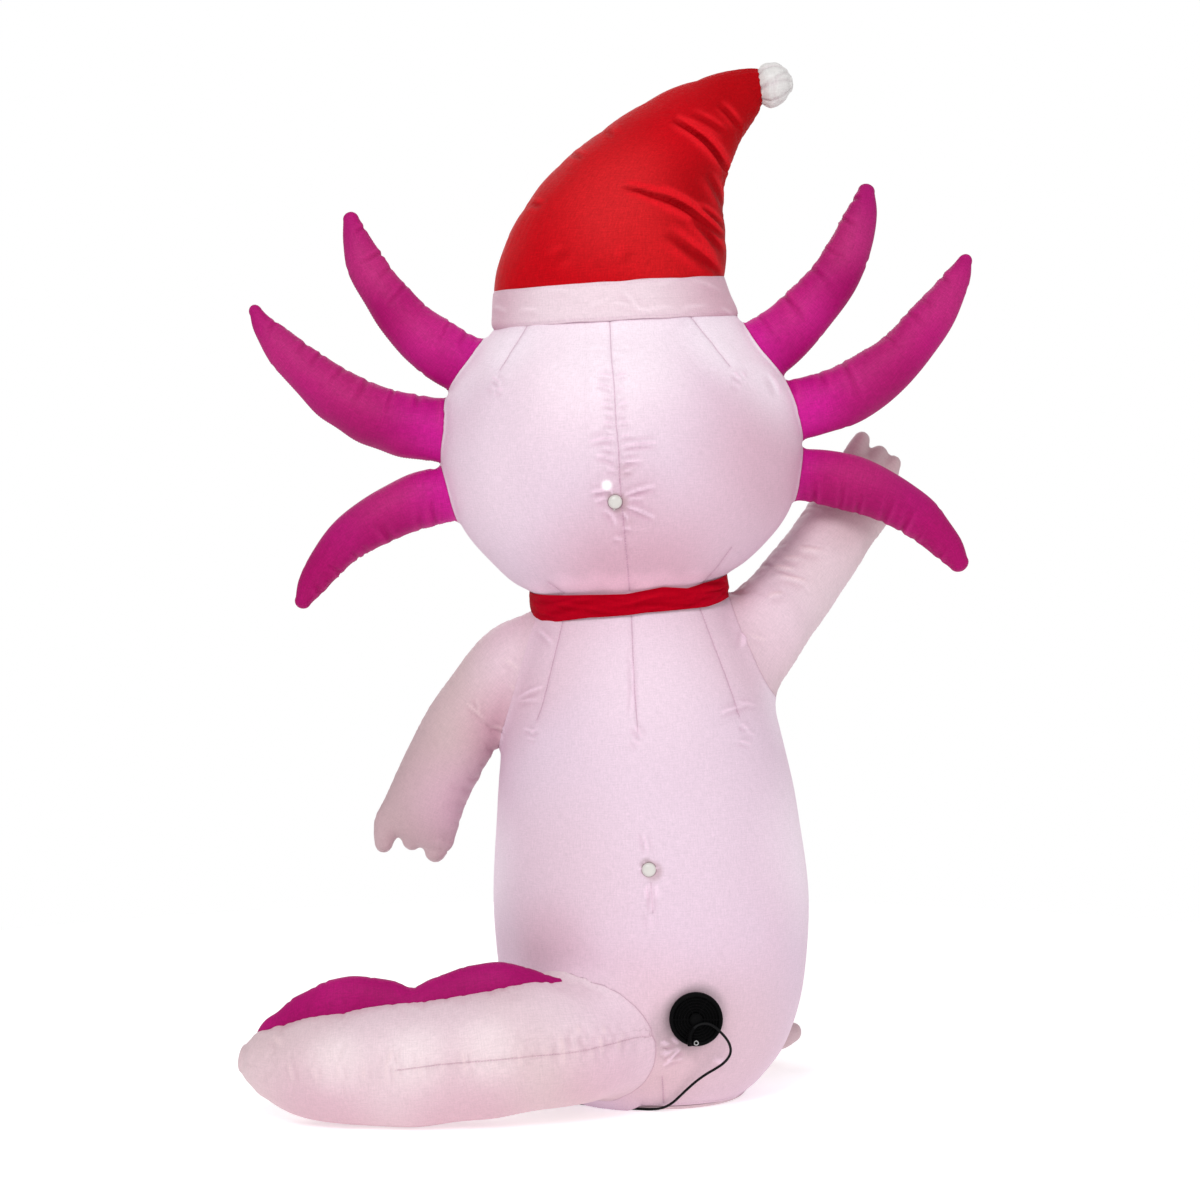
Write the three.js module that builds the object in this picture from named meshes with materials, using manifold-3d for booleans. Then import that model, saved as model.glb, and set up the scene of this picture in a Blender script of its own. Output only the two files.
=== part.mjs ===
// A waving yard inflatable 1.83 m tall: an axolotl in a red hat, kept up by a small fan.
// Millimetres, +Z up. The origin is the middle of the flat base, on the ground.
// The figure faces +Y, and its right side is +X. Every filled piece is one solid of its blown-up form.
import * as THREE from "three";
import { mergeVertices } from "three/addons/utils/BufferGeometryUtils.js";
import Module from "manifold-3d";

const wasm = await Module();
wasm.setup();

// ---- driving dimensions ----
const GAP = 0.3; // between pieces that touch
const COLLAR_CLEARANCE = 0.8; // between the collar's gathers and the neck where they are closest
const COLLAR_THICKNESS = 3;
const COLLAR_HEIGHT = 41;
const COLLAR_WAVE = 1.6; // how far the gathered collar stands in and out
// The neck is the narrow ring where the body meets the head; flare is how much wider both are
// at the collar's edges. Its tilts are in degrees.
const NECK = { x: -46, z: 882, across: 163, deep: 147, flare: 9, lean: 4.9, pitch: 6 };
const BASE_PANEL_HEIGHT = 6;
const SEAM_DEPTH = 5; // how far a long seam draws the filled cloth in
const GROUND = { size: 2400, depth: 60 }; // the block that flattens what lies on the ground
const ROUND_END = [0.35, 0.62, 0.85]; // where a round end's sections stand along its length

const BLOWER = { x: 63, y: -229, z: 171.5, radius: 45, proud: 17, recess: 6, grilleRadius: 39, ribs: 3 };
const BUTTON = { radius: 12, height: 9, flange: 15, sunk: 4 };
const HEAD_BUTTON = { x: -72.6, y: -231, z: 1039 };
const BODY_BUTTON = { x: -16, y: -238, z: 422 };
const CORD = { radius: 2.25, sides: 8, clear: 0.1 };
const GLAND = { x: 52, z: 123, radius: 4, length: 11 };
const COIL = { x: -335, y: -20, middle: 27, halfWidth: 11.4, height: 12.4 };
const ADAPTER = { x: -376, y: 66.6, length: 72, width: 46, height: 34, corner: 6 };
const BLADE = { length: 17, width: 6.4, thickness: 1.6, spacing: 12.7, off: 12 };

const MATERIALS = {
  bodyCloth: { color: "#ecd2e4", roughness: 0.7 },
  headCloth: { color: "#f0d8e8", roughness: 0.7 },
  limbCloth: { color: "#dfc6cb", roughness: 0.72 },
  gillCloth: { color: "#b01478", roughness: 0.62 },
  hatCloth: { color: "#c81a1e", roughness: 0.62 },
  collarCloth: { color: "#b90a23", roughness: 0.6 },
  bandCloth: { color: "#ebcddc", roughness: 0.7 },
  pompomCloth: { color: "#ebe9e6", roughness: 0.8 },
  baseCloth: { color: "#cdb3c4", roughness: 0.75 },
  blackPlastic: { color: "#141416", roughness: 0.5 },
  whitePlastic: { color: "#f4f2ee", roughness: 0.35 },
  blackCord: { color: "#101012", roughness: 0.55 },
  bladeMetal: { color: "#c9c9c6", roughness: 0.3, metalness: 1 },
};

// ---- tables: one row for each section, from the root to the tip ----
// across is the half size seen from the front or back, deep the half size from front to back.

// lean and pitch tilt a section's plane, in degrees, towards -X and towards -Y.
const UPRIGHT = ["x", "z", "lean", "pitch", "across", "deep"];

const BODY_SECTIONS = table(UPRIGHT, [
  [0, 0, 0, 0, 152, 150],
  [0, BASE_PANEL_HEIGHT, 0, 0, 161, 155],
  [0, 15, 0, 0, 171, 163],
  [0, 32, 0, 0, 190, 177],
  [-2, 82, 0, 0, 229, 206],
  [-4, 145, 0, 0, 255, 227],
  [-5, 216, 0, 0, 270, 239],
  [-6, 320, 0, 0, 279, 246],
  [-9.5, 420, 0.5, 0, 276, 243],
  [-15, 518, 1.5, 0, 265, 232],
  [-23, 610, 3, 1, 250, 219],
  [-31.5, 690, 4, 2, 235, 206],
  [-38, 765, 4.6, 4, 215, 189],
  [-44, 820, 4.9, 5.5, 193, 171],
  [-45.5, 860, NECK.lean, NECK.pitch, 171, 153],
  [NECK.x, NECK.z, NECK.lean, NECK.pitch, NECK.across, NECK.deep],
]);

const HEAD_SECTIONS = table(UPRIGHT, [
  [NECK.x, NECK.z, NECK.lean, NECK.pitch, NECK.across, NECK.deep],
  [-46.5, 903, NECK.lean, NECK.pitch, 171, 153],
  [-46, 926, 4.9, 5.8, 207, 172],
  [-46, 956, 4.7, 5.2, 240, 192],
  [-50, 994, 3.6, 4.6, 274, 213],
  [-53, 1034, 2.7, 4, 297, 230],
  [-57, 1086, 1.9, 3.5, 313, 243],
  [-59, 1143, 1.5, 3.5, 319, 248],
  [-61, 1192, 1.3, 3.7, 314, 246],
  [-65, 1242, 1.5, 4, 303, 238],
  [-68, 1281, 1.6, 4.4, 282, 226],
  [-71, 1317, 1.8, 4.8, 254, 208],
  [-71, 1343, 2.3, 5, 233, 196],
  [-70, 1366, 3.2, 5.2, 218, 188],
]);

const HAT_BAND_SECTIONS = table(UPRIGHT, [
  [-70, 1366, 3.2, 5.2, 217, 188],
  [-73, 1378, 3.2, 5.4, 219, 191],
  [-78, 1402, 3.4, 5.9, 213, 188],
  [-81, 1426, 3.6, 6.3, 208, 184],
  [-82, 1437, 3.8, 6.5, 205, 182],
]);

const HAT_CROWN_SECTIONS = table(UPRIGHT, [
  [-82, 1437, 3.8, 6.5, 206, 182],
  [-79, 1474, 2.6, 5.5, 203, 181],
  [-71.5, 1515, 1.5, 4.5, 193, 174],
  [-60.5, 1556, 0.3, 3.5, 181, 165],
  [-44, 1595, -1, 2.5, 167, 154],
  [-21, 1635, -3.9, 1.5, 149, 139],
  [7, 1669, -7.6, 1, 130, 122],
  [47, 1710, -13.7, 0.5, 104, 98],
  [86, 1740, -22.7, 0, 81, 76],
  [127, 1764, -36, 0, 59, 55],
  [162, 1780, -56, 0, 43, 41],
  [185, 1786.5, -81, 0, 35, 33],
]);

const POMPOM_SECTIONS = table(UPRIGHT, [
  [185, 1786.5, -81, 0, 32, 30],
  [192, 1788.5, -82, 0, 38, 36],
  [203, 1790, -84, 0, 40, 38],
  [218, 1792, -87, 0, 37.5, 36],
  [232, 1792.5, -88, 0, 27, 27],
  [240, 1792.5, -89, 0, 15, 15],
]);

const GILL_TABLES = {
  gill_left_top: [
    [-270, 1250, 53],
    [-332, 1288, 54],
    [-382, 1319, 52],
    [-435, 1362, 47],
    [-481, 1417, 40],
    [-515, 1471, 34],
    [-532, 1515, 25],
    [-542, 1553, 15],
  ],
  gill_left_middle: [
    [-300, 1172, 55],
    [-372, 1176, 57],
    [-438, 1185, 57],
    [-498, 1202, 55],
    [-558, 1233, 50],
    [-610, 1273, 42],
    [-659, 1318, 33],
    [-694, 1358, 23],
    [-711, 1387, 12],
  ],
  gill_left_bottom: [
    [-290, 1077, 48],
    [-360, 1064, 49],
    [-402, 1056, 50],
    [-446, 1041, 49],
    [-492, 1017, 46],
    [-541, 985, 41],
    [-582, 944, 34],
    [-611, 903, 26],
    [-627, 872, 15],
  ],
  gill_right_top: [
    [135, 1282, 57],
    [193, 1320, 57],
    [243, 1360, 52],
    [292, 1415, 47],
    [328, 1466, 43],
    [351, 1514, 38],
    [367, 1563, 29],
    [376, 1603, 16],
  ],
  gill_right_middle: [
    [180, 1195, 50],
    [248, 1211, 53],
    [310, 1229, 55],
    [375, 1260, 54],
    [437, 1312, 46],
    [479, 1358, 42],
    [516, 1411, 34],
    [539, 1449, 24],
    [552, 1477, 12],
  ],
  gill_right_bottom: [
    [180, 1105, 42],
    [251, 1099, 46],
    [306, 1092, 50],
    [356, 1080, 49],
    [408, 1060, 45],
    [452, 1036, 40],
    [489, 1004, 35],
    [521, 970, 28],
    [542, 940, 17],
  ],
};
const GILL = { y: 8, depth: 0.92, tip: 14 };

const ARM = { depth: 0.97, tip: 16 };
const LEFT_ARM_SECTIONS = table(["x", "y", "z", "across"], [
  [-190, 0, 780, 80],
  [-240, 0, 760, 79],
  [-269, 2, 736, 78],
  [-296, 4, 708, 76],
  [-317, 6, 684, 73],
  [-340, 8, 652, 71],
  [-360, 10, 617, 69],
  [-381, 12, 576, 68],
  [-401, 14, 533, 68],
  [-418, 15, 491, 71],
  [-430, 15, 463, 74],
]);
const RIGHT_ARM_SECTIONS = table(["x", "y", "z", "across"], [
  [108, 0, 712, 81],
  [155, 10, 770, 82],
  [197, 27, 828, 81],
  [221, 42, 856, 77],
  [247, 58, 887, 74],
  [277, 77, 922, 72],
  [308, 96, 965, 70],
  [340, 116, 1011, 69],
  [368, 132, 1051, 70],
  [389, 144, 1086, 68],
  [403, 151, 1111, 61],
]);

// A finger or toe is a short rounded tube from its root to its tip.
const DIGIT = ["name", "x0", "y0", "z0", "x1", "y1", "z1", "radius"];
const LEFT_FINGERS = table(DIGIT, [
  ["outer", -470, 15, 488, -486, 15, 441, 20],
  ["middle", -438, 15, 480, -435, 15, 447, 21],
  ["inner", -392, 13, 474, -401, 10, 426, 20],
]);
const RIGHT_FINGERS = table(DIGIT, [
  ["inner", 359, 151, 1119, 385, 154, 1171, 17],
  ["middle", 397, 151, 1113, 419, 154, 1145, 18],
  ["outer", 429, 151, 1101, 446, 153, 1127, 17],
]);

const TAIL_SECTIONS = table(["x", "y", "z", "across", "deep"], [
  [-72, -110, 134, 92, 95],
  [-97, -186, 129, 98, 102],
  [-166, -237, 129, 103, 101],
  [-250, -256, 122, 103, 100],
  [-340, -262, 107, 103, 100],
  [-430, -262, 102, 103, 99],
  [-520, -256, 95, 95, 91],
  [-593, -248, 95, 83, 79],
  [-642, -242, 102, 61, 57],
  [-680, -236, 108, 33, 31],
]);
const TAIL_TIP = 22;

const FIN_SECTIONS = table(["x", "y", "z", "across", "deep"], [
  [-674, -232, 131, 13, 10],
  [-651, -236, 150, 27, 18],
  [-627, -239, 158, 32, 22],
  [-592, -243, 166, 49, 27],
  [-558, -247, 171, 62, 30],
  [-528, -249, 175, 68, 32],
  [-490, -252, 180, 67, 32],
  [-440, -255, 184, 54, 30],
  [-406, -256, 188, 39, 26],
  [-371, -256, 195, 47, 28],
  [-337, -255, 201, 55, 31],
  [-292, -253, 208, 58, 32],
  [-243, -249, 214, 54, 30],
  [-199, -242, 218, 35, 24],
  [-167, -236, 222, 23, 16],
]);
const FIN_TIP = 6;

// The right foot; the left one is its mirror image.
const FOOT_SECTIONS = table(["x", "y", "z", "across", "deep"], [
  [80, 95, 52, 46, 52],
  [140, 160, 49, 50, 58],
  [178, 208, 45, 47, 57],
  [198, 236, 43, 41, 50],
]);
const FOOT_TIP = 18;
const TOES = table(DIGIT, [
  ["outer", 210, 214, 48, 258, 240, 61, 17],
  ["middle", 200, 236, 40, 226, 278, 40, 19],
  ["inner", 168, 240, 38, 176, 288, 37, 18],
]);

// The cord's route by hand: over the fan's face, down the cloth, round the base and under the tail.
const CORD_ROUTE = table(["x", "y", "z"], [
  [52, -250.3, 134.4],
  [52.2, -250.2, 142],
  [54, -249.8, 150],
  [59, -249.2, 158],
  [67, -248.8, 163.5],
  [76, -248.7, 165.8],
  [85, -248.8, 164.8],
  [94, -248.9, 160],
  [102, -249, 153],
  [109, -247.8, 145.5],
  [115.5, -244, 136.5],
  [120, -240, 126],
  [121, -235, 115],
  [117, -229, 104],
  [109, -222, 93.5],
  [97, -214.5, 83.5],
  [82, -207.5, 73],
  [66, -200.5, 60],
  [51, -192, 45],
  [38, -183, 30.5],
  [24, -173.5, 16],
  [8, -163.5, 6],
  [-10, -158.2, 2.6],
  [-30, -154.6, 2.35],
  [-52, -149, 2.35],
  [-78, -139, 2.35],
  [-104, -127, 2.35],
  [-130, -112, 2.35],
  [-160, -98, 2.35],
  [-192, -90, 2.35],
  [-226, -84.5, 2.35],
  [-262, -77, 2.35],
  [-298, -67.5, 2.35],
  [-317, -62.6, 2.35],
  [-335, -61, 2.35],
]);
const CORD_STEPS = 78;
// The last of the cord, from the coil's side to the adapter's end.
const LEAD_ROUTE = table(["x", "y", "z"], [
  [-376, -20, 2.35],
  [-376, -9, 2.8],
  [-376, 3, 4.8],
  [-376, 14, 7.3],
  [-376, 22, 8],
  [-376, 30.2, 8],
]);

const SIDES = { body: 32, hat: 24, limb: 18, gill: 12, tail: 20, fin: 12, foot: 14, digit: 8, round: 24 };

// ---- helpers ----

/** Rows of values as objects with the named columns. */
function table(columns, rows) {
  return rows.map((row) => Object.fromEntries(row.map((value, i) => [columns[i], value])));
}

const radians = THREE.MathUtils.degToRad;
const spot = (row) => new THREE.Vector3(row.x, row.y ?? 0, row.z);

/** The way that tilts from straight up by lean degrees towards -X and pitch degrees towards -Y. */
function tilted(lean, pitch) {
  const way = new THREE.Vector3(-Math.sin(radians(lean)), 0, Math.cos(radians(lean)));
  way.multiplyScalar(Math.cos(radians(pitch)));
  return way.setY(-Math.sin(radians(pitch)));
}

/** Two columns of a table as a smooth curve. */
function smoothColumns(rows, first, second) {
  const points = rows.map((row) => new THREE.Vector3(row[first], row[second], 0));
  return new THREE.CatmullRomCurve3(points, false, "catmullrom", 0.5);
}

/** A smooth run of sections through the rows: centre, direction and half sizes of each. */
function smoothSections(rows, steps) {
  const centres = new THREE.CatmullRomCurve3(rows.map(spot), false, "catmullrom", 0.5);
  const sizes = smoothColumns(rows, "across", "deep");
  const tilts = "lean" in rows[0] ? smoothColumns(rows, "lean", "pitch") : null;
  const count = (rows.length - 1) * steps;
  const sections = [];
  for (let i = 0; i <= count; i += 1) {
    const size = sizes.getPoint(i / count);
    const tilt = tilts?.getPoint(i / count);
    const along = tilt ? tilted(tilt.x, tilt.y) : centres.getTangent(i / count);
    sections.push({ centre: centres.getPoint(i / count), along, across: size.x, deep: size.y });
  }
  return sections;
}

/** Sections that close a tube with a round end of the given length. */
function roundEnd(section, length) {
  return ROUND_END.map((part) => ({
    centre: section.centre.clone().addScaledVector(section.along, length * part),
    along: section.along,
    across: section.across * Math.sqrt(1 - part * part),
    deep: section.deep * Math.sqrt(1 - part * part),
  }));
}

/** A closed solid through elliptic sections, with a flat start and a flat or round end. */
function loft(rows, options) {
  const { sides, steps = 1, tip = 0, seams = [], grow = 0 } = options;
  const sections = smoothSections(rows, steps);
  const last = sections[sections.length - 1];
  let endPole = last.centre;
  if (tip) {
    endPole = last.centre.clone().addScaledVector(last.along, tip + grow);
    sections.push(...roundEnd(last, tip));
  }
  const positions = [];
  for (const section of sections) {
    const acrossWay = new THREE.Vector3(0, 1, 0).cross(section.along).normalize();
    const deepWay = section.along.clone().cross(acrossWay).normalize();
    for (let side = 0; side < sides; side += 1) {
      const degrees = (side * 360) / sides;
      const drawnIn = seams.includes(degrees) ? SEAM_DEPTH : 0;
      const across = (section.across + grow) * (1 - drawnIn / (section.across + SEAM_DEPTH));
      const deep = (section.deep + grow) * (1 - drawnIn / (section.deep + SEAM_DEPTH));
      const point = section.centre.clone();
      point.addScaledVector(acrossWay, across * Math.cos(radians(degrees)));
      point.addScaledVector(deepWay, deep * Math.sin(radians(degrees)));
      positions.push(...point.toArray());
    }
  }
  positions.push(...sections[0].centre.toArray(), ...endPole.toArray());
  return closedTube(positions, sections.length, sides);
}

/** Joins rings of points into one closed skin; the last two points are the middles of its ends. */
function closedTube(positions, rings, sides) {
  const index = [];
  const startPole = rings * sides;
  const endPole = startPole + 1;
  const lastRing = (rings - 1) * sides;
  for (let side = 0; side < sides; side += 1) {
    const next = (side + 1) % sides;
    for (let ring = 0; ring < rings - 1; ring += 1) {
      const low = ring * sides;
      const high = low + sides;
      index.push(low + side, low + next, high + next, low + side, high + next, high + side);
    }
    index.push(startPole, next, side, endPole, lastRing + side, lastRing + next);
  }
  const geometry = new THREE.BufferGeometry();
  geometry.setAttribute("position", new THREE.Float32BufferAttribute(positions, 3));
  geometry.setIndex(index);
  return geometry;
}

/** A closed geometry as a solid that can be joined and cut. */
function solid(geometry) {
  const bare = geometry.clone();
  bare.deleteAttribute("normal");
  bare.deleteAttribute("uv");
  const merged = mergeVertices(bare, 1e-4);
  const mesh = new wasm.Mesh({
    numProp: 3,
    vertProperties: Float32Array.from(merged.attributes.position.array),
    triVerts: Uint32Array.from(merged.index.array),
  });
  return new wasm.Manifold(mesh);
}

/** A joined and cut solid back as a geometry. */
function surface(shape) {
  const mesh = shape.getMesh();
  const geometry = new THREE.BufferGeometry();
  geometry.setAttribute("position", new THREE.BufferAttribute(mesh.vertProperties, 3));
  geometry.setIndex(new THREE.BufferAttribute(mesh.triVerts, 1));
  geometry.computeVertexNormals();
  return geometry;
}

/** A solid turned from a profile of [radius, height] pairs about the height axis. */
function turned(profile, sides) {
  const points = profile.map(([radius, height]) => new THREE.Vector2(radius, height));
  return new THREE.LatheGeometry(points, sides);
}

/** Places a turned piece so that its height axis points out of the figure's back. */
function facingBack(geometry, place) {
  return geometry.rotateX(Math.PI).translate(place.x, place.y, place.z);
}

/** A piece of round tube through the route's points. */
function tube(route, steps) {
  const path = new THREE.CatmullRomCurve3(route.map(spot), false, "centripetal");
  const section = new THREE.Shape();
  section.absarc(0, 0, CORD.radius, 0, 2 * Math.PI);
  return new THREE.ExtrudeGeometry(section, { steps, extrudePath: path, curveSegments: CORD.sides / 2 });
}

/** A finger or toe, rounded at both ends. */
function digit(row) {
  const root = new THREE.Vector3(row.x0, row.y0, row.z0);
  const tip = new THREE.Vector3(row.x1, row.y1, row.z1);
  const length = root.distanceTo(tip);
  const capsule = new THREE.CapsuleGeometry(row.radius, length, 2, SIDES.digit);
  const way = tip.clone().sub(root).normalize();
  capsule.applyQuaternion(new THREE.Quaternion().setFromUnitVectors(new THREE.Vector3(0, 1, 0), way));
  return capsule.translate(...root.add(tip).multiplyScalar(0.5).toArray());
}

/** The given piece of tube with its fingers or toes joined on. */
function withDigits(base, rows) {
  return rows.reduce((shape, row) => shape.add(solid(digit(row))), base);
}

/** The mirror image of a solid, left for right. */
function mirrored(shape) {
  const geometry = surface(shape);
  geometry.scale(-1, 1, 1);
  const index = geometry.index.array;
  for (let i = 0; i < index.length; i += 3) {
    [index[i], index[i + 1]] = [index[i + 1], index[i]];
  }
  return solid(geometry);
}

// ---- the figure ----

const neckUp = tilted(NECK.lean, NECK.pitch);
const fullBody = { sides: SIDES.body, seams: [90, 270] };
const fullHead = { sides: SIDES.body, seams: [90, 270] };

/** Moves a table's first row off the piece below it by the gap. */
function lifted(rows) {
  const [first, ...rest] = rows;
  return [{ ...first, z: first.z + GAP }, ...rest];
}

function makeBasePanel() {
  const rows = BODY_SECTIONS.filter((row) => row.z <= BASE_PANEL_HEIGHT);
  return loft(rows, fullBody);
}

function makeBody() {
  const rows = lifted(BODY_SECTIONS.filter((row) => row.z >= BASE_PANEL_HEIGHT));
  return loft(rows, fullBody);
}

function makeHead() {
  return loft(lifted(HEAD_SECTIONS), fullHead);
}

function makeHatBand() {
  return loft(lifted(HAT_BAND_SECTIONS), { sides: SIDES.hat });
}

function makeHatCrown() {
  return loft(lifted(HAT_CROWN_SECTIONS), { sides: SIDES.hat });
}

/** The gathered white pouch at the hat's tip, clear of the hat by the gap along its own axis. */
function makePompom() {
  const rows = POMPOM_SECTIONS.map((row) => ({ ...row, x: row.x + GAP }));
  return loft(rows, { sides: SIDES.foot, tip: 5 });
}

/** The collar: one thin strip gathered round the neck, uneven in and out. */
function makeCollar() {
  const levels = [-0.5, 0, 0.5];
  const sides = 2 * SIDES.hat;
  const acrossWay = new THREE.Vector3(0, 1, 0).cross(neckUp).normalize();
  const deepWay = neckUp.clone().cross(acrossWay);
  const positions = [];
  const ring = (offset, level) => {
    for (let side = 0; side < sides; side += 1) {
      const angle = (side * 2 * Math.PI) / sides;
      const wave = COLLAR_WAVE * Math.sin(5 * angle + 4 * level) * Math.cos(3 * angle);
      const reach = offset + COLLAR_CLEARANCE + COLLAR_WAVE + wave;
      const point = new THREE.Vector3(NECK.x, 0, NECK.z).addScaledVector(neckUp, level * COLLAR_HEIGHT);
      point.addScaledVector(acrossWay, (NECK.across + NECK.flare + reach) * Math.cos(angle));
      point.addScaledVector(deepWay, (NECK.deep + NECK.flare + reach) * Math.sin(angle));
      positions.push(...point.toArray());
    }
  };
  levels.forEach((level) => ring(COLLAR_THICKNESS, level));
  levels.toReversed().forEach((level) => ring(0, level));
  return closedRing(positions, 2 * levels.length, sides);
}

/** Joins rings of points into a skin that closes on itself, as a washer's does. */
function closedRing(positions, rings, sides) {
  const index = [];
  for (let ring = 0; ring < rings; ring += 1) {
    const low = ring * sides;
    const high = ((ring + 1) % rings) * sides;
    for (let side = 0; side < sides; side += 1) {
      const next = (side + 1) % sides;
      index.push(low + side, low + next, high + next, low + side, high + next, high + side);
    }
  }
  const geometry = new THREE.BufferGeometry();
  geometry.setAttribute("position", new THREE.Float32BufferAttribute(positions, 3));
  geometry.setIndex(index);
  return geometry;
}

/** The body and base in one, grown by the gap: what sewn-on pieces are cut by. */
const bodyCutter = solid(loft(BODY_SECTIONS, { ...fullBody, grow: GAP }));
const headCutter = solid(loft(HEAD_SECTIONS, { ...fullHead, grow: GAP }));

/** The collar's space, filled, so that the arms' tops stay clear of it. */
function collarCutter() {
  const half = COLLAR_HEIGHT / 2 + COLLAR_CLEARANCE;
  const room = NECK.flare + COLLAR_THICKNESS + 2 * COLLAR_WAVE + 2 * COLLAR_CLEARANCE;
  const tilts = { lean: NECK.lean, pitch: NECK.pitch };
  const end = (way) => {
    const centre = new THREE.Vector3(NECK.x, 0, NECK.z).addScaledVector(neckUp, way * half);
    const place = { x: centre.x, y: centre.y, z: centre.z };
    return { ...place, ...tilts, across: NECK.across + room, deep: NECK.deep + room };
  };
  return solid(loft([end(-1), end(1)], { sides: SIDES.body }));
}

/** All below the ground, for flattening what lies on it. */
function floorCutter() {
  const block = new THREE.BoxGeometry(GROUND.size, GROUND.size, GROUND.depth);
  return solid(block.translate(0, 0, -GROUND.depth / 2));
}

const floor = floorCutter();

function makeArm(rows, fingers) {
  const sections = rows.map((row) => ({ ...row, deep: row.across * ARM.depth }));
  const sleeve = solid(loft(sections, { sides: SIDES.limb, tip: ARM.tip }));
  return withDigits(sleeve, fingers).subtract(bodyCutter).subtract(collarCutter());
}

function makeGill(rows) {
  const sections = table(["x", "z", "across"], rows).map((row) => ({
    ...row,
    y: GILL.y,
    deep: row.across * GILL.depth,
  }));
  return solid(loft(sections, { sides: SIDES.gill, tip: GILL.tip })).subtract(headCutter);
}

function tailSolid(grow) {
  const shape = { sides: SIDES.tail, steps: 2, tip: TAIL_TIP, seams: [90, 270], grow };
  return solid(loft(TAIL_SECTIONS, shape));
}

function makeTail() {
  return tailSolid(0).subtract(bodyCutter).subtract(floor);
}

function makeFin() {
  const fin = solid(loft(FIN_SECTIONS, { sides: SIDES.fin, tip: FIN_TIP }));
  return fin.subtract(tailSolid(GAP)).subtract(bodyCutter);
}

function makeRightFoot() {
  const foot = solid(loft(FOOT_SECTIONS, { sides: SIDES.foot, tip: FOOT_TIP }));
  return withDigits(foot, TOES).subtract(floor);
}

// ---- the fan, the lamps' buttons and the cord ----

function makeBlowerHousing() {
  const { radius, proud, recess, grilleRadius } = BLOWER;
  const rim = grilleRadius + GAP;
  const floorOfRim = proud - recess;
  const profile = [
    [0, -10], [radius - 5, -10], [radius - 5, 6], [radius, 9], [radius, proud - 2],
    [radius - 2, proud], [rim, proud], [rim, floorOfRim], [0, floorOfRim],
  ];
  const housing = solid(facingBack(turned(profile, SIDES.round), BLOWER));
  return housing.subtract(bodyCutter);
}

/** The grille: a disc with raised round ribs about a plain hub. */
function makeBlowerGrille() {
  const { proud, recess, grilleRadius, ribs } = BLOWER;
  const back = proud - recess + GAP;
  const pitch = grilleRadius / (ribs + 1);
  const profile = [[0, back], [grilleRadius, back]];
  for (let rib = ribs; rib >= 1; rib -= 1) {
    const outer = (rib + 1) * pitch;
    profile.push([outer, proud - 1], [outer - 0.4 * pitch, proud - 1]);
    profile.push([outer - 0.4 * pitch, back + 1.5], [outer - pitch, back + 1.5]);
  }
  profile.push([pitch, proud - 1], [0, proud - 1]);
  return facingBack(turned(profile, SIDES.round), BLOWER);
}

/** A lamp's white button: a round flange under a domed cap, seated on the cloth. */
function makeButton(place, cutter) {
  const { radius, height, flange, sunk } = BUTTON;
  const profile = [
    [0, -sunk], [flange, -sunk], [flange, 1.5], [radius, 2.5], [radius, 0.6 * height],
    [0.85 * radius, 0.85 * height], [0.5 * radius, height], [0, height],
  ];
  return solid(facingBack(turned(profile, SIDES.round), place)).subtract(cutter);
}

/** The cord's gland: a small boss on the face of the fan's rim, which the cord leaves upwards. */
function makeGland() {
  const y = BLOWER.y - BLOWER.proud - GAP - GLAND.radius;
  const boss = new THREE.CylinderGeometry(GLAND.radius - 0.5, GLAND.radius, GLAND.length, SIDES.foot);
  return boss.rotateX(Math.PI / 2).translate(GLAND.x, y, GLAND.z + GLAND.length / 2);
}

function makeCoil() {
  const { middle, halfWidth, height } = COIL;
  const chamfer = 2;
  const profile = [
    [middle - halfWidth, chamfer], [middle - halfWidth + chamfer, 0],
    [middle + halfWidth - chamfer, 0], [middle + halfWidth, chamfer],
    [middle + halfWidth, height - chamfer], [middle + halfWidth - chamfer, height],
    [middle - halfWidth + chamfer, height], [middle - halfWidth, height - chamfer],
    [middle - halfWidth, chamfer],
  ];
  return turned(profile, SIDES.round).rotateX(Math.PI / 2).translate(COIL.x, COIL.y, CORD.clear);
}

function makeAdapterCase() {
  const { length, width, height, corner } = ADAPTER;
  const outline = new THREE.Shape();
  const x = width / 2 - corner;
  const y = length / 2 - corner;
  outline.absarc(x, y, corner, 0, Math.PI / 2);
  outline.absarc(-x, y, corner, Math.PI / 2, Math.PI);
  outline.absarc(-x, -y, corner, Math.PI, 1.5 * Math.PI);
  outline.absarc(x, -y, corner, 1.5 * Math.PI, 2 * Math.PI);
  const block = new THREE.ExtrudeGeometry(outline, { depth: height, bevelEnabled: false, curveSegments: 4 });
  return block.translate(ADAPTER.x, ADAPTER.y, CORD.clear);
}

/** A plug blade that stands out of the adapter's top face. */
function makeBlade(way) {
  const blade = new THREE.BoxGeometry(BLADE.thickness, BLADE.width, BLADE.length);
  const z = CORD.clear + ADAPTER.height + GAP + BLADE.length / 2;
  return blade.translate(ADAPTER.x + (way * BLADE.spacing) / 2, ADAPTER.y + BLADE.off, z);
}

// ---- the object ----

const part = new THREE.Group();

function add(name, shape, material) {
  const geometry = shape instanceof THREE.BufferGeometry ? shape : surface(shape);
  const mesh = new THREE.Mesh(geometry, new THREE.MeshStandardMaterial(MATERIALS[material]));
  mesh.name = name;
  part.add(mesh);
}

const rightFoot = makeRightFoot();

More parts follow.
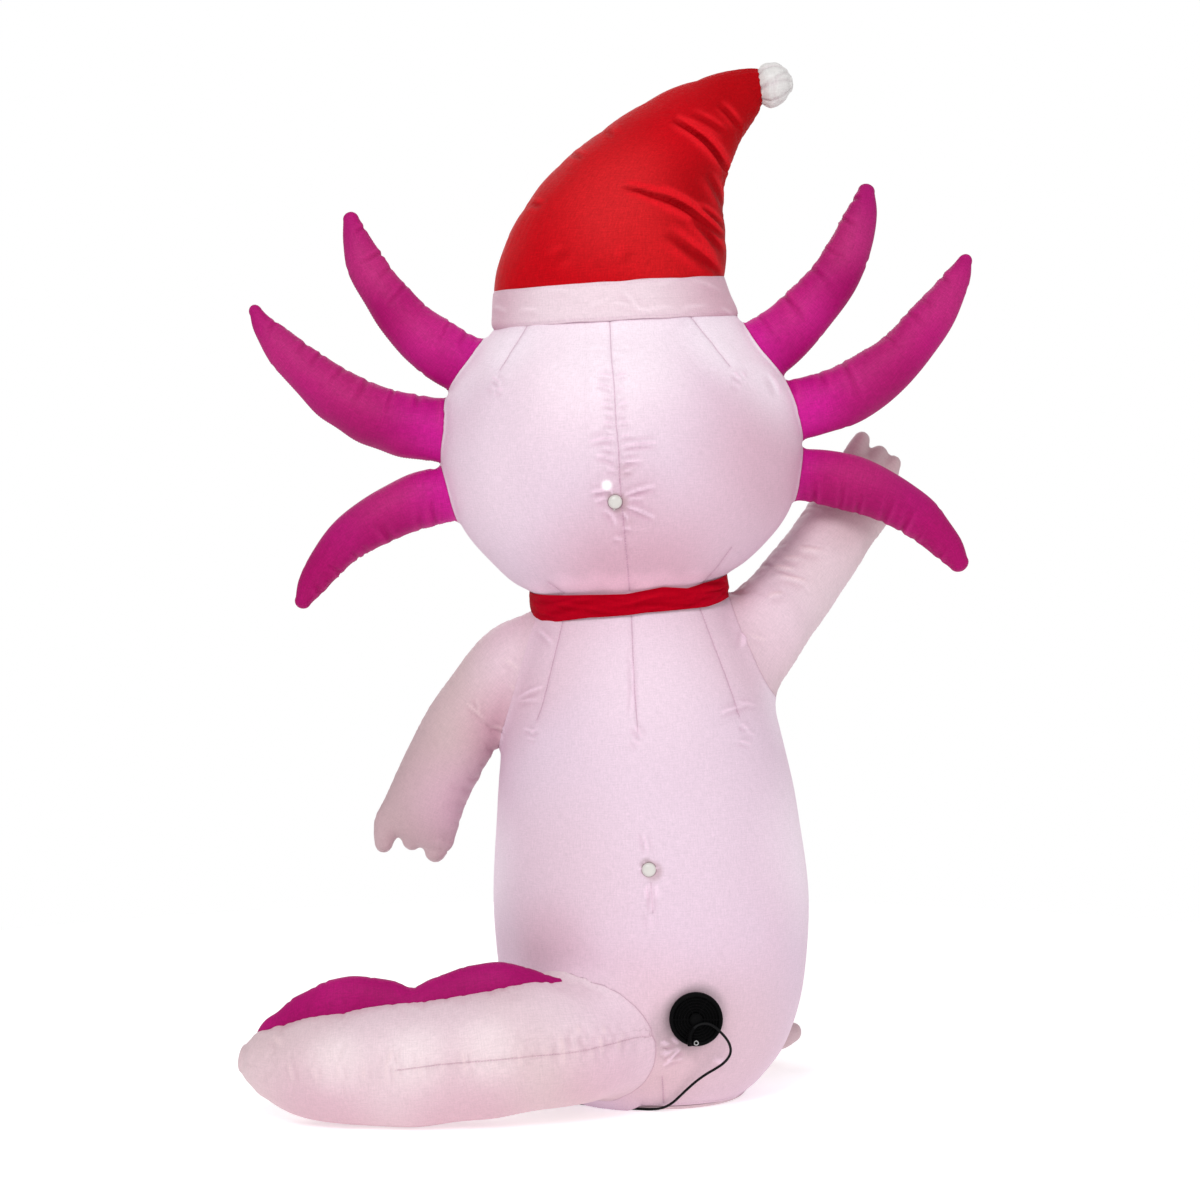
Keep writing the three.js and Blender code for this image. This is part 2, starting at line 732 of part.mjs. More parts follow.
add("base_panel", makeBasePanel(), "baseCloth");
add("body", makeBody(), "bodyCloth");
add("head", makeHead(), "headCloth");
add("hat_band", makeHatBand(), "bandCloth");
add("hat_crown", makeHatCrown(), "hatCloth");
add("hat_pompom", makePompom(), "pompomCloth");
add("collar", makeCollar(), "collarCloth");
add("arm_left", makeArm(LEFT_ARM_SECTIONS, LEFT_FINGERS), "limbCloth");
add("arm_right", makeArm(RIGHT_ARM_SECTIONS, RIGHT_FINGERS), "limbCloth");
for (const [name, rows] of Object.entries(GILL_TABLES)) {
  add(name, makeGill(rows), "gillCloth");
}
add("tail", makeTail(), "limbCloth");
add("tail_fin", makeFin(), "gillCloth");
add("foot_right", rightFoot.subtract(bodyCutter), "limbCloth");
add("foot_left", mirrored(rightFoot).subtract(bodyCutter), "limbCloth");
add("blower_housing", makeBlowerHousing(), "blackPlastic");
add("blower_grille", makeBlowerGrille(), "blackPlastic");
add("lamp_button_head", makeButton(HEAD_BUTTON, headCutter), "whitePlastic");
add("lamp_button_body", makeButton(BODY_BUTTON, bodyCutter), "whitePlastic");
add("cord_gland", makeGland(), "blackPlastic");
add("cord", tube(CORD_ROUTE, CORD_STEPS), "blackCord");
add("cord_coil", makeCoil(), "blackCord");
add("cord_lead", tube(LEAD_ROUTE, LEAD_ROUTE.length * 2), "blackCord");
add("adapter_case", makeAdapterCase(), "blackPlastic");
add("adapter_blade_left", makeBlade(-1), "bladeMetal");
add("adapter_blade_right", makeBlade(1), "bladeMetal");

export default part;
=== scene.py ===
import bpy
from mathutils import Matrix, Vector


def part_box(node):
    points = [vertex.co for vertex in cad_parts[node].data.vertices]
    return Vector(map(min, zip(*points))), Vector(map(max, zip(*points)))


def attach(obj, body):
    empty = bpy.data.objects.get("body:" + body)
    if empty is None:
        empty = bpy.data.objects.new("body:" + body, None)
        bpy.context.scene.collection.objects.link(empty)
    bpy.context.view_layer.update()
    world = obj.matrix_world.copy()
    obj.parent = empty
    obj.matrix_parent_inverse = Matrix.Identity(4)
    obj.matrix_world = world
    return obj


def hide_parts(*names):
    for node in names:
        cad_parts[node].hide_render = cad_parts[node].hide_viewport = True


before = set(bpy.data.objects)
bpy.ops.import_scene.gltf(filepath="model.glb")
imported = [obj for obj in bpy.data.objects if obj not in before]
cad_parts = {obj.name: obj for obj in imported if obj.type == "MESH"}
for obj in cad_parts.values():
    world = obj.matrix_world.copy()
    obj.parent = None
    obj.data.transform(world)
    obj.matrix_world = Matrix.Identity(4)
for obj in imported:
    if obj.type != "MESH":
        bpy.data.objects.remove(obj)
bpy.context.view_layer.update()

import copy
import math

import bmesh
import bpy
import numpy as np
from bpy.props import FloatProperty, FloatVectorProperty, IntProperty, PointerProperty
from mathutils import Matrix, Vector
from mathutils.bvhtree import BVHTree

bl_info = {
    "name": "Axolotl yard inflatable",
    "version": (1, 0, 0),
    "blender": (4, 5, 0),
    "location": "View3D > Sidebar > Inflatable",
    "description": "Builds the sewn cloth, fan, lamps and cord of a blown-up yard axolotl",
    "category": "Add Mesh",
}

MM = 0.001
BACK = 270.0  # the angle round a section, in degrees, that faces the way the figure's back does

# ---- sections: one row for each, from the root to the tip, in millimetres and degrees ----
# across is the half size seen from the back, deep the half size from front to back;
# lean and pitch tilt an upright section towards -X and towards -Y.

# x, z, lean, pitch, across, deep
BODY_ROWS = [
    (0, 6.3, 0, 0, 161, 155), (0, 15, 0, 0, 171, 163), (0, 32, 0, 0, 190, 177),
    (-2, 82, 0, 0, 229, 206), (-4, 145, 0, 0, 255, 227), (-5, 216, 0, 0, 270, 239),
    (-6, 320, 0, 0, 279, 246), (-9.5, 420, 0.5, 0, 276, 243), (-15, 518, 1.5, 0, 265, 232),
    (-23, 610, 3, 1, 250, 219), (-31.5, 690, 4, 2, 235, 206), (-38, 765, 4.6, 4, 215, 189),
    (-44, 820, 4.9, 5.5, 193, 171), (-45.5, 860, 4.9, 6, 171, 153), (-46, 882, 4.9, 6, 163, 147),
]
BASE_ROWS = [(0, 0, 0, 0, 152, 150), (0, 2, 0, 0, 157.5, 153), (0, 6, 0, 0, 161, 155)]
HEAD_ROWS = [
    (-46, 882.3, 4.9, 6, 163, 147), (-46.5, 903, 4.9, 6, 171, 153), (-46, 926, 4.9, 5.8, 207, 172),
    (-46, 956, 4.7, 5.2, 240, 192), (-50, 994, 3.6, 4.6, 274, 213), (-53, 1034, 2.7, 4, 297, 230),
    (-57, 1086, 1.9, 3.5, 313, 243), (-59, 1143, 1.5, 3.5, 319, 248),
    (-61, 1192, 1.3, 3.7, 314, 246),
    (-65, 1242, 1.5, 4, 303, 238), (-68, 1281, 1.6, 4.4, 282, 226), (-71, 1317, 1.8, 4.8, 254, 208),
    (-71, 1343, 2.3, 5, 233, 196), (-70, 1364, 3.1, 5.2, 218.5, 188.5),
    (-70.5, 1367, 3.2, 5.2, 215, 185), (-72, 1376, 3.2, 5.3, 208, 180),
]
BAND_ROWS = [
    (-70, 1366.3, 3.2, 5.2, 217, 188), (-73, 1378, 3.2, 5.4, 219, 191),
    (-78, 1402, 3.4, 5.9, 213, 188),
    (-81, 1426, 3.6, 6.3, 208, 184), (-82, 1437, 3.8, 6.5, 205, 182),
]
CROWN_ROWS = [
    (-82, 1427, 3.7, 6.4, 198, 174), (-82, 1435.5, 3.8, 6.5, 203.5, 180),
    (-79, 1474, 2.6, 5.5, 203, 181), (-71.5, 1515, 1.5, 4.5, 193, 174),
    (-60.5, 1556, 0.3, 3.5, 181, 165), (-44, 1595, -1, 2.5, 167, 154),
    (-21, 1635, -3.9, 1.5, 149, 139),
    (7, 1669, -7.6, 1, 130, 122), (47, 1710, -13.7, 0.5, 104, 98), (86, 1740, -22.7, 0, 81, 76),
    (127, 1764, -36, 0, 59, 55), (162, 1780, -56, 0, 43, 41), (183.5, 1786.5, -81, 0, 35, 33),
    (188, 1787.5, -82, 0, 31.5, 29.5),
]
POMPOM_ROWS = [
    (181, 1785.5, -80, 0, 26, 24), (187.3, 1787.2, -81, 0, 31, 29), (194.3, 1788.9, -82, 0, 37, 35),
    (203.3, 1790, -84, 0, 40, 38),
    (218.3, 1792, -87, 0, 37.5, 36), (232.3, 1792.5, -88, 0, 27, 27),
    (240.3, 1792.5, -89, 0, 15, 15),
]

# x, z, across
GILL_ROWS = {
    "gill_left_top": [
        (-270, 1250, 53), (-332, 1288, 54), (-382, 1319, 52), (-435, 1362, 47),
        (-481, 1417, 40), (-515, 1471, 34), (-532, 1515, 25), (-542, 1553, 15),
    ],
    "gill_left_middle": [
        (-300, 1172, 55), (-372, 1176, 57), (-438, 1185, 57), (-498, 1202, 55), (-558, 1233, 50),
        (-610, 1273, 42), (-659, 1318, 33), (-694, 1358, 23), (-711, 1387, 12),
    ],
    "gill_left_bottom": [
        (-290, 1077, 48), (-360, 1064, 49), (-402, 1056, 50), (-446, 1041, 49), (-492, 1017, 46),
        (-541, 985, 41), (-582, 944, 34), (-611, 903, 26), (-627, 872, 15),
    ],
    "gill_right_top": [
        (135, 1282, 57), (193, 1320, 57), (243, 1360, 52), (292, 1415, 47),
        (328, 1466, 43), (351, 1514, 38), (367, 1563, 29), (376, 1603, 16),
    ],
    "gill_right_middle": [
        (180, 1195, 50), (248, 1211, 53), (310, 1229, 55), (375, 1260, 54), (437, 1312, 46),
        (479, 1358, 42), (516, 1411, 34), (539, 1449, 24), (552, 1477, 12),
    ],
    "gill_right_bottom": [
        (180, 1105, 42), (251, 1099, 46), (306, 1092, 50), (356, 1080, 49), (408, 1060, 45),
        (452, 1036, 40), (489, 1004, 35), (521, 970, 28), (542, 940, 17),
    ],
}
GILL_Y = 8
GILL_DEPTH = 0.92
GILL_TIP = 14

# x, y, z, across
LEFT_ARM_ROWS = [
    (-190, 0, 780, 80), (-240, 0, 760, 79), (-269, 2, 736, 78), (-296, 4, 708, 74),
    (-317, 6, 684, 70), (-340, 8, 652, 69), (-360, 10, 617, 69), (-381, 12, 576, 68),
    (-401, 14, 533, 68), (-418, 15, 491, 71), (-430, 15, 463, 74),
]
RIGHT_ARM_ROWS = [
    (108, 0, 712, 81), (155, 10, 770, 82), (197, 27, 828, 81), (221, 42, 856, 77),
    (247, 58, 887, 74), (277, 77, 922, 72), (308, 96, 965, 70), (340, 116, 1011, 69),
    (368, 132, 1051, 70), (389, 144, 1086, 68), (403, 151, 1111, 61),
]
ARM_DEPTH = 0.97
ARM_TIP = 24
# a finger or toe: x, y, z of its root, then of its tip, and its radius
LEFT_FINGERS = [
    (-479, 15, 482, -484, 15, 441, 21), (-432, 15, 480, -434, 15, 447, 22),
    (-381, 13, 470, -391, 12, 428, 24),
]
RIGHT_FINGERS = [
    (359, 151, 1119, 384, 154, 1168, 20), (395, 151, 1113, 416, 154, 1141, 22),
    (426, 151, 1099, 442, 153, 1124, 21),
]

# x, y, z, across, deep
TAIL_ROWS = [
    (-86, -110, 134, 92, 95), (-110, -186, 129, 98, 102), (-172, -237, 129, 103, 101),
    (-250, -256, 122, 103, 100), (-340, -262, 107, 103, 100), (-430, -262, 102, 103, 99),
    (-520, -256, 95, 95, 91), (-593, -248, 95, 83, 79), (-642, -242, 100, 64, 59),
    (-665, -239, 103, 51, 47), (-682, -236, 104, 37, 34), (-694, -235, 105, 23, 21),
]
TAIL_TIP = 8
FIN_ROWS = [
    (-676, -232, 127, 7, 6), (-651, -236, 147, 22, 15), (-627, -239, 157, 30, 20),
    (-592, -243, 166, 49, 27), (-558, -247, 171, 62, 30), (-528, -249, 175, 68, 32),
    (-490, -252, 180, 67, 32), (-440, -255, 184, 54, 30), (-406, -256, 188, 39, 26),
    (-371, -256, 195, 47, 28), (-337, -255, 201, 55, 31), (-292, -253, 208, 58, 32),
    (-243, -249, 214, 54, 30), (-199, -242, 222, 32, 22), (-176, -238, 229, 15, 11),
    (-165, -236, 233, 7, 5),
]
FIN_TIP = 4
FOOT_ROWS = [
    (80, 95, 52, 46, 52), (140, 160, 49, 50, 58), (178, 208, 45, 47, 57), (198, 236, 43, 41, 50),
]
FOOT_TIP = 18
TOES = [
    (210, 214, 46, 260, 238, 60, 24), (200, 236, 40, 226, 278, 40, 19),
    (168, 240, 38, 176, 288, 37, 18),
]

# ---- the fan, the lamps and the cord, in metres ----
BLOWER_CENTRE = (0.063, -0.229, 0.1715)
BLOWER_RADIUS = 0.045
BLOWER_PROUD = 0.017
BLOWER_RECESS = 0.006
HEAD_BUTTON = (-0.0726, -0.231, 1.039)
BODY_BUTTON = (-0.016, -0.238, 0.422)
CORD_ROUTE = [
    (0.052, -0.2503, 0.1344), (0.0522, -0.2502, 0.142), (0.054, -0.2498, 0.15),
    (0.059, -0.2492, 0.158), (0.067, -0.2488, 0.1635), (0.076, -0.2487, 0.1658),
    (0.085, -0.2488, 0.1648), (0.094, -0.2489, 0.16), (0.102, -0.249, 0.153),
    (0.109, -0.2478, 0.1455), (0.1155, -0.244, 0.1365), (0.12, -0.24, 0.126),
    (0.121, -0.235, 0.115), (0.117, -0.229, 0.104), (0.109, -0.222, 0.0935),
    (0.097, -0.2145, 0.0835), (0.082, -0.2075, 0.073), (0.066, -0.2005, 0.06),
    (0.051, -0.192, 0.045), (0.038, -0.183, 0.0305), (0.024, -0.1735, 0.016),
    (0.008, -0.1635, 0.006), (-0.01, -0.1582, 0.0026), (-0.03, -0.1546, 0.00235),
    (-0.052, -0.149, 0.00235), (-0.078, -0.139, 0.00235), (-0.104, -0.127, 0.00235),
    (-0.13, -0.112, 0.00235), (-0.16, -0.098, 0.00235), (-0.192, -0.09, 0.00235),
    (-0.226, -0.0845, 0.00235), (-0.262, -0.077, 0.00235), (-0.298, -0.0675, 0.00235),
    (-0.317, -0.0626, 0.00235), (-0.335, -0.061, 0.00235),
]
CORD_REST = 0.00235  # the height of the cord's middle where it lies on the ground
COIL_CENTRE = (-0.335, -0.02)
COIL_EDGE = 0.041  # from the coil's middle to the cord where it comes and goes
# radius and height of each turn of the coil, in the order they are wound
COIL_TURNS = [
    (0.03375, 0.00235), (0.02925, 0.00235), (0.02475, 0.00235), (0.02025, 0.00235),
    (0.018, 0.00625), (0.02025, 0.01015), (0.0225, 0.00625), (0.02475, 0.01015),
    (0.027, 0.00625), (0.02925, 0.01015), (0.0315, 0.00625), (0.03375, 0.01015), (0.036, 0.00625),
]
COIL_FLAT_TURNS = 4  # the turns that lie on the ground, before the cord climbs onto them
# degrees wound: between two places on the cord, while it settles into its first turn, before it
# leaves that turn, while it goes from one turn to the next, and on each turn above the ground
COIL_STEP, COIL_SETTLED, COIL_FIRST, COIL_EASE, COIL_STACKED = 24.0, 50.0, 385.0, 44.0, 327.0
LEAD_ROUTE = [
    (-0.376, -0.02, 0.00235), (-0.376, -0.009, 0.0028), (-0.376, 0.003, 0.0048),
    (-0.376, 0.014, 0.0073), (-0.376, 0.022, 0.008), (-0.376, 0.0302, 0.008),
]

# ---- seams and wrinkles: places on the cloth as the back shows them, x and z in millimetres ----
BODY_SEAM = [(-45, 872), (-44, 841), (-41, 757), (-38, 700), (-34, 649)]
BODY_LOWER_SEAM = [(7, 72), (9, 45), (11, 8)]
BODY_DARTS = [
    [(-158, 868), (-162, 836), (-180, 765), (-198, 692), (-208, 662)],
    [(70, 874), (78, 854), (106, 778), (133, 703), (142, 672)],
]
BODY_DART_ENDS = [(-214, 646), (146, 655), (-34, 641)]
HEAD_SEAM = [
    (-82, 1364), (-79, 1285), (-74, 1231), (-71, 1166), (-67, 1130), (-65, 1078), (-63, 1052),
    (-60, 1018), (-55, 970), (-50, 920), (-47, 886),
]
HEAD_DARTS = [
    [(-218, 1360), (-225, 1343), (-250, 1303), (-272, 1264)],
    [(56, 1362), (66, 1350), (96, 1312), (126, 1270)],
    [(-190, 905), (-172, 893), (-158, 883)],
    [(78, 898), (104, 930), (130, 966)],
]
HEAD_DART_ENDS = [(-275, 1250), (136, 1256)]
TAIL_SEAM = [
    (-8, 147), (-64, 143), (-141, 134), (-210, 131), (-269, 126), (-358, 120), (-430, 110),
    (-503, 105), (-606, 100), (-690, 108),
]

# x and z of a wrinkle's ends, its half width and its depth
BODY_WRINKLES = [
    (-2, 132, 24, 125, 3.5, 1.6), (-2, 118, 22, 109, 3.5, 1.6), (4, 92, 44, 100, 3, 1.6),
    (2, 106, 36, 120, 3.5, 1.6),
    (-46, 790, -46, 672, 2.6, 1.6), (-41, 662, -26, 640, 3.5, 1.8), (-44, 640, -30, 628, 4, 1.2),
    (-244, 700, -194, 726, 3, 1.7), (-246, 696, -204, 702, 3, 1.3),
    (-203, 822, -178, 796, 3.4, 1.7),
    (-230, 652, -212, 648, 2.8, 1.7), (-218, 643, -204, 652, 2.8, 1.5),
    (-224, 636, -206, 634, 2.8, 1.1),
    (104, 680, 156, 694, 3.2, 1.8), (130, 700, 176, 690, 2.8, 1.3), (134, 634, 164, 625, 3, 1.5),
    (140, 662, 158, 651, 3, 1.6), (152, 648, 168, 642, 2.8, 1.0), (150, 820, 146, 788, 3.6, 1.4),
    (-27, 486, -18, 446, 3, 1.6), (-14, 400, -12, 350, 2.6, 2.4), (-16, 350, -11, 320, 4, 0.8),
    (-34, 424, -22, 424, 3, 1.2), (-12, 422, 2, 426, 3, 1.2), (-28, 436, -20, 430, 3, 1),
    (14, 96, 38, 117, 3.5, 2.4), (20, 140, 34, 126, 4, 1.4), (92, 96, 118, 84, 6, 1.2),
]
HEAD_WRINKLES = [
    (-100, 1253, -76, 1250, 3, 1.8), (-73, 1250, -52, 1252, 3, 1.6),
    (-104, 1236, -75, 1228, 3, 1.8),
    (-71, 1231, -58, 1226, 3, 1.2), (-97, 1203, -73, 1200, 3, 2), (-70, 1201, -50, 1204, 3, 1.8),
    (-92, 1216, -75, 1213, 3, 1.2), (-90, 1187, -72, 1184, 3.2, 1.4),
    (-70, 1186, -54, 1183, 3, 1.2),
    (-94, 1172, -72, 1168, 3.2, 1.8), (-69, 1170, -48, 1172, 3.2, 1.4),
    (-88, 1157, -71, 1155, 3, 1.2),
    (-118, 1138, -70, 1146, 3.6, 2.6), (-66, 1130, -2, 1137, 3.4, 2.8),
    (-68, 1146, -44, 1150, 3, 1.4),
    (-106, 1117, -70, 1108, 3.4, 2.2), (-63, 1104, -26, 1107, 3.2, 2),
    (-96, 1128, -70, 1124, 3, 1.4),
    (-88, 1094, -67, 1090, 3.2, 1.6), (-63, 1088, -44, 1092, 3.2, 1.6),
    (-60, 1118, -40, 1121, 3, 1.2),
    (-116, 1055, -82, 1058, 3.4, 2.2), (-108, 1040, -84, 1044, 3.6, 1.8),
    (-58, 1050, -4, 1066, 3.6, 2.6), (-56, 1032, -4, 1012, 3.4, 2.6),
    (-54, 1042, -24, 1046, 3.4, 1.8),
    (-92, 1026, -76, 1016, 3.4, 1.8), (-62, 1024, -50, 1008, 3.2, 1.6),
    (-84, 1064, -76, 1050, 3, 1.8),
    (-80, 1020, -70, 1000, 3.6, 1.4), (-60, 996, -44, 994, 3.6, 1), (-76, 980, -58, 976, 3.6, 1),
    (-282, 1256, -266, 1240, 3.6, 2), (-276, 1236, -262, 1230, 4, 1.4),
    (-288, 1244, -276, 1232, 4, 1.2), (128, 1262, 144, 1248, 3.6, 2),
    (140, 1264, 150, 1254, 3.6, 1.4),
    (128, 1244, 142, 1236, 4, 1.2), (196, 1270, 216, 1230, 6, 1.6),
]
TAIL_WRINKLES = [
    (-445, 84, -444, 132, 4, 1.8), (-440, 112, -434, 150, 4, 1.6), (-430, 96, -428, 130, 3.6, 1.4),
    (-387, 98, -388, 136, 4, 2), (-378, 112, -374, 128, 3.6, 1.4), (-317, 104, -318, 142, 4, 1.8),
    (-306, 118, -302, 134, 3.6, 1.2), (-268, 112, -266, 136, 4, 1.2),
    (-225, 112, -226, 152, 4, 1.8),
    (-216, 124, -210, 146, 3.6, 1.4), (-186, 120, -186, 148, 4, 1.4),
    (-158, 116, -158, 170, 4, 2.4),
    (-147, 124, -142, 164, 3.6, 2), (-139, 118, -132, 182, 4, 2.2),
    (-128, 128, -122, 158, 3.6, 1.8),
    (-112, 120, -106, 150, 4, 1.6), (-98, 122, -90, 176, 4, 2.2), (-88, 130, -80, 160, 3.6, 1.6),
    (-70, 126, -58, 158, 4, 1.8), (-350, 104, -352, 132, 3.6, 1.2), (-480, 92, -480, 120, 4, 1.2),
    (-520, 92, -524, 118, 4, 1.2), (-560, 88, -566, 114, 4, 1.2), (-600, 84, -608, 116, 4, 1.4),
    (-640, 150, -624, 138, 5, 1.4),
]
CROWN_WRINKLES = [
    (-62, 1582, 60, 1542, 4.5, 4.2), (-4, 1574, 112, 1506, 6, 4.8), (-30, 1570, 56, 1530, 4.5, 1.8),
    (54, 1532, 114, 1480, 6, 2.8), (66, 1554, 116, 1526, 4.5, 2), (28, 1706, 94, 1662, 5, 3.8),
    (70, 1684, 126, 1628, 6, 3.6), (58, 1718, 122, 1688, 5, 1.8), (8, 1502, 96, 1444, 8, 2.4),
    (62, 1478, 114, 1438, 6, 1.8), (86, 1614, 120, 1556, 7, 2), (108, 1742, 146, 1706, 5, 1.8),
    (-150, 1660, -128, 1640, 5, 1.6), (-222, 1568, -200, 1556, 5, 1.6),
    (-90, 1700, -76, 1678, 6, 1.2),
    (-180, 1452, -150, 1470, 8, 0.9), (-60, 1446, -40, 1470, 8, 0.8),
]
BAND_WRINKLES = [
    (-62, 1404, -26, 1362, 4, 1.4), (-40, 1372, -8, 1362, 4, 1.4), (-78, 1380, -40, 1372, 4, 1.2),
    (-120, 1374, -80, 1384, 5, 1), (-20, 1368, 30, 1374, 5, 1.2), (40, 1372, 90, 1382, 5, 1),
    (-240, 1376, -200, 1370, 5, 1.4), (-286, 1390, -258, 1374, 5, 1.4),
    (110, 1380, 140, 1372, 5, 1.4),
    (60, 1426, 116, 1414, 5, 0.8), (-200, 1410, -150, 1400, 6, 0.8), (0, 1412, 40, 1426, 6, 0.8),
]
LEFT_ARM_WRINKLES = [
    (-334, 694, -298, 662, 3.2, 2), (-314, 702, -308, 674, 3, 1.4),
    (-268, 772, -238, 750, 4, 1.2), (-256, 726, -234, 712, 4, 1.3), (-290, 650, -268, 650, 4, 1.2),
    (-214, 812, -194, 794, 3.6, 1.4),
]
RIGHT_ARM_WRINKLES = [
    (206, 934, 250, 930, 5, 2.2), (214, 918, 268, 908, 5, 2), (226, 950, 262, 950, 5, 1.6),
    (196, 880, 226, 886, 5, 1.6), (164, 812, 194, 802, 4, 1.2), (252, 968, 300, 962, 6, 1.4),
    (156, 740, 184, 708, 4, 1.2),
]


# ---- lofted cloth ----

QUARTER_ROUND = 1.57  # the way round a quarter of a circle, for each unit of its radius
ANGLE_STEP = 0.25  # degrees between the places where the spacing round a section is worked out
BACK_HALF = 100.0  # degrees either side of the back where the points are close together
FRONT_EASE = 20.0  # degrees over which the spacing goes from fine to coarse
FAR_FROM_SEAM = 0.05  # metres; the distance that cloth away from any seam is given
SHADED_DEPTH = 0.003  # metres; cloth drawn in by this much is shaded in full
CLOTH_SHARP = 60.0  # degrees; a sharper turn between two faces of cloth stays an edge
NEAREST_BLOCK = 4000  # points that are looked up together, which keeps the memory small


def smooth(rows, steps=24):
    """Passes a smooth curve through the rows of values, with so many steps between two rows."""
    values = np.asarray(rows, float)
    ends = np.vstack([2 * values[0] - values[1], values, 2 * values[-1] - values[-2]])
    t = np.linspace(0, 1, steps, endpoint=False)[:, None]
    spans = []
    for before, here, there, after in zip(ends, ends[1:], ends[2:], ends[3:]):
        leave, arrive = (there - before) / 2, (after - here) / 2
        spans.append(
            (2 * t**3 - 3 * t**2 + 1) * here + (t**3 - 2 * t**2 + t) * leave
            + (3 * t**2 - 2 * t**3) * there + (t**3 - t**2) * arrive
        )
    return np.vstack([*spans, values[-1:]])


def unit(vectors):
    """Vectors with the same way and a length of 1."""
    return vectors / np.linalg.norm(vectors, axis=-1, keepdims=True)


def bell(offset, width):
    """A rounded rise: 1 where offset is 0, falling off on both sides of it."""
    return np.exp(-((offset / width) ** 2))


class Tube:
    """A run of elliptic sections, evenly spaced along the cloth: metres throughout."""

    def __init__(self, rows, spacing, upright=False, tip=0.0):
        values = smooth(rows)
        if upright:
            x, z, lean, pitch, across, deep = values.T
            lean, pitch = np.radians(lean), np.radians(pitch)
            centre = np.stack([x, 0 * x, z], 1) * MM
            flat = np.cos(pitch)
            along = np.stack([-flat * np.sin(lean), -np.sin(pitch), flat * np.cos(lean)], 1)
        else:
            centre, (across, deep) = values[:, :3] * MM, values[:, 3:5].T
            along = unit(np.gradient(centre, axis=0))
        across, deep = across * MM, deep * MM
        reach = np.hypot(np.linalg.norm(np.diff(centre, axis=0), axis=1), np.diff(across))
        reach = np.concatenate([[0], np.cumsum(reach)])
        even = np.linspace(0, reach[-1], max(2, round(reach[-1] / spacing)) + 1)

        def spread(column):
            return np.interp(even, reach, column)

        self.centre = np.stack([spread(c) for c in centre.T], 1)
        self.along = unit(np.stack([spread(c) for c in along.T], 1))
        self.across, self.deep = spread(across), spread(deep)
        self.distance = even
        if tip:
            self.close_round(tip, spacing)
        self.across_way = unit(np.cross((0, 1, 0), self.along))
        self.deep_way = np.cross(self.along, self.across_way)

    def close_round(self, tip, spacing):
        """Adds the sections of a round end of the given length."""
        size = max(self.across[-1], tip)
        count = max(4, round(QUARTER_ROUND * size / spacing))
        turn = np.linspace(0, math.pi / 2, count + 1)[1:-1, None]
        last, way = self.centre[-1], self.along[-1]
        self.centre = np.vstack([self.centre, last + way * tip * np.sin(turn)])
        self.along = np.vstack([self.along, np.repeat([way], len(turn), axis=0)])
        self.across = np.append(self.across, self.across[-1] * np.cos(turn))
        self.deep = np.append(self.deep, self.deep[-1] * np.cos(turn))
        self.distance = np.append(self.distance, self.distance[-1] + size * turn)
        self.end = last + way * tip

    def bend_side(self):
        """The angle, 0 or 180, at the inside of each section's bend."""
        turn = np.gradient(self.along, axis=0)
        inward = (turn * self.across_way).sum(axis=1).sum()
        return 0.0 if inward > 0 else 180.0

    def top_side(self):
        """The angle, 0 or 180, at the top of a tube that lies down."""
        return 0.0 if self.across_way[:, 2].sum() > 0 else 180.0


def side_angles(radius, fine, coarse):
    """Angles round a section, close together at the back and further apart at the front."""
    fan = np.radians(np.arange(0, 360, ANGLE_STEP))
    off_back = np.abs((fan - math.radians(BACK) + math.pi) % (2 * math.pi) - math.pi)
    ease = np.clip((off_back - math.radians(BACK_HALF)) / math.radians(FRONT_EASE), 0, 1)
    density = radius / (fine + (coarse - fine) * ease)
    total = np.concatenate([[0], np.cumsum(density)]) * math.radians(ANGLE_STEP)
    count = round(total[-1])
    return np.interp(np.arange(count), total * count / total[-1], np.append(fan, 2 * math.pi))


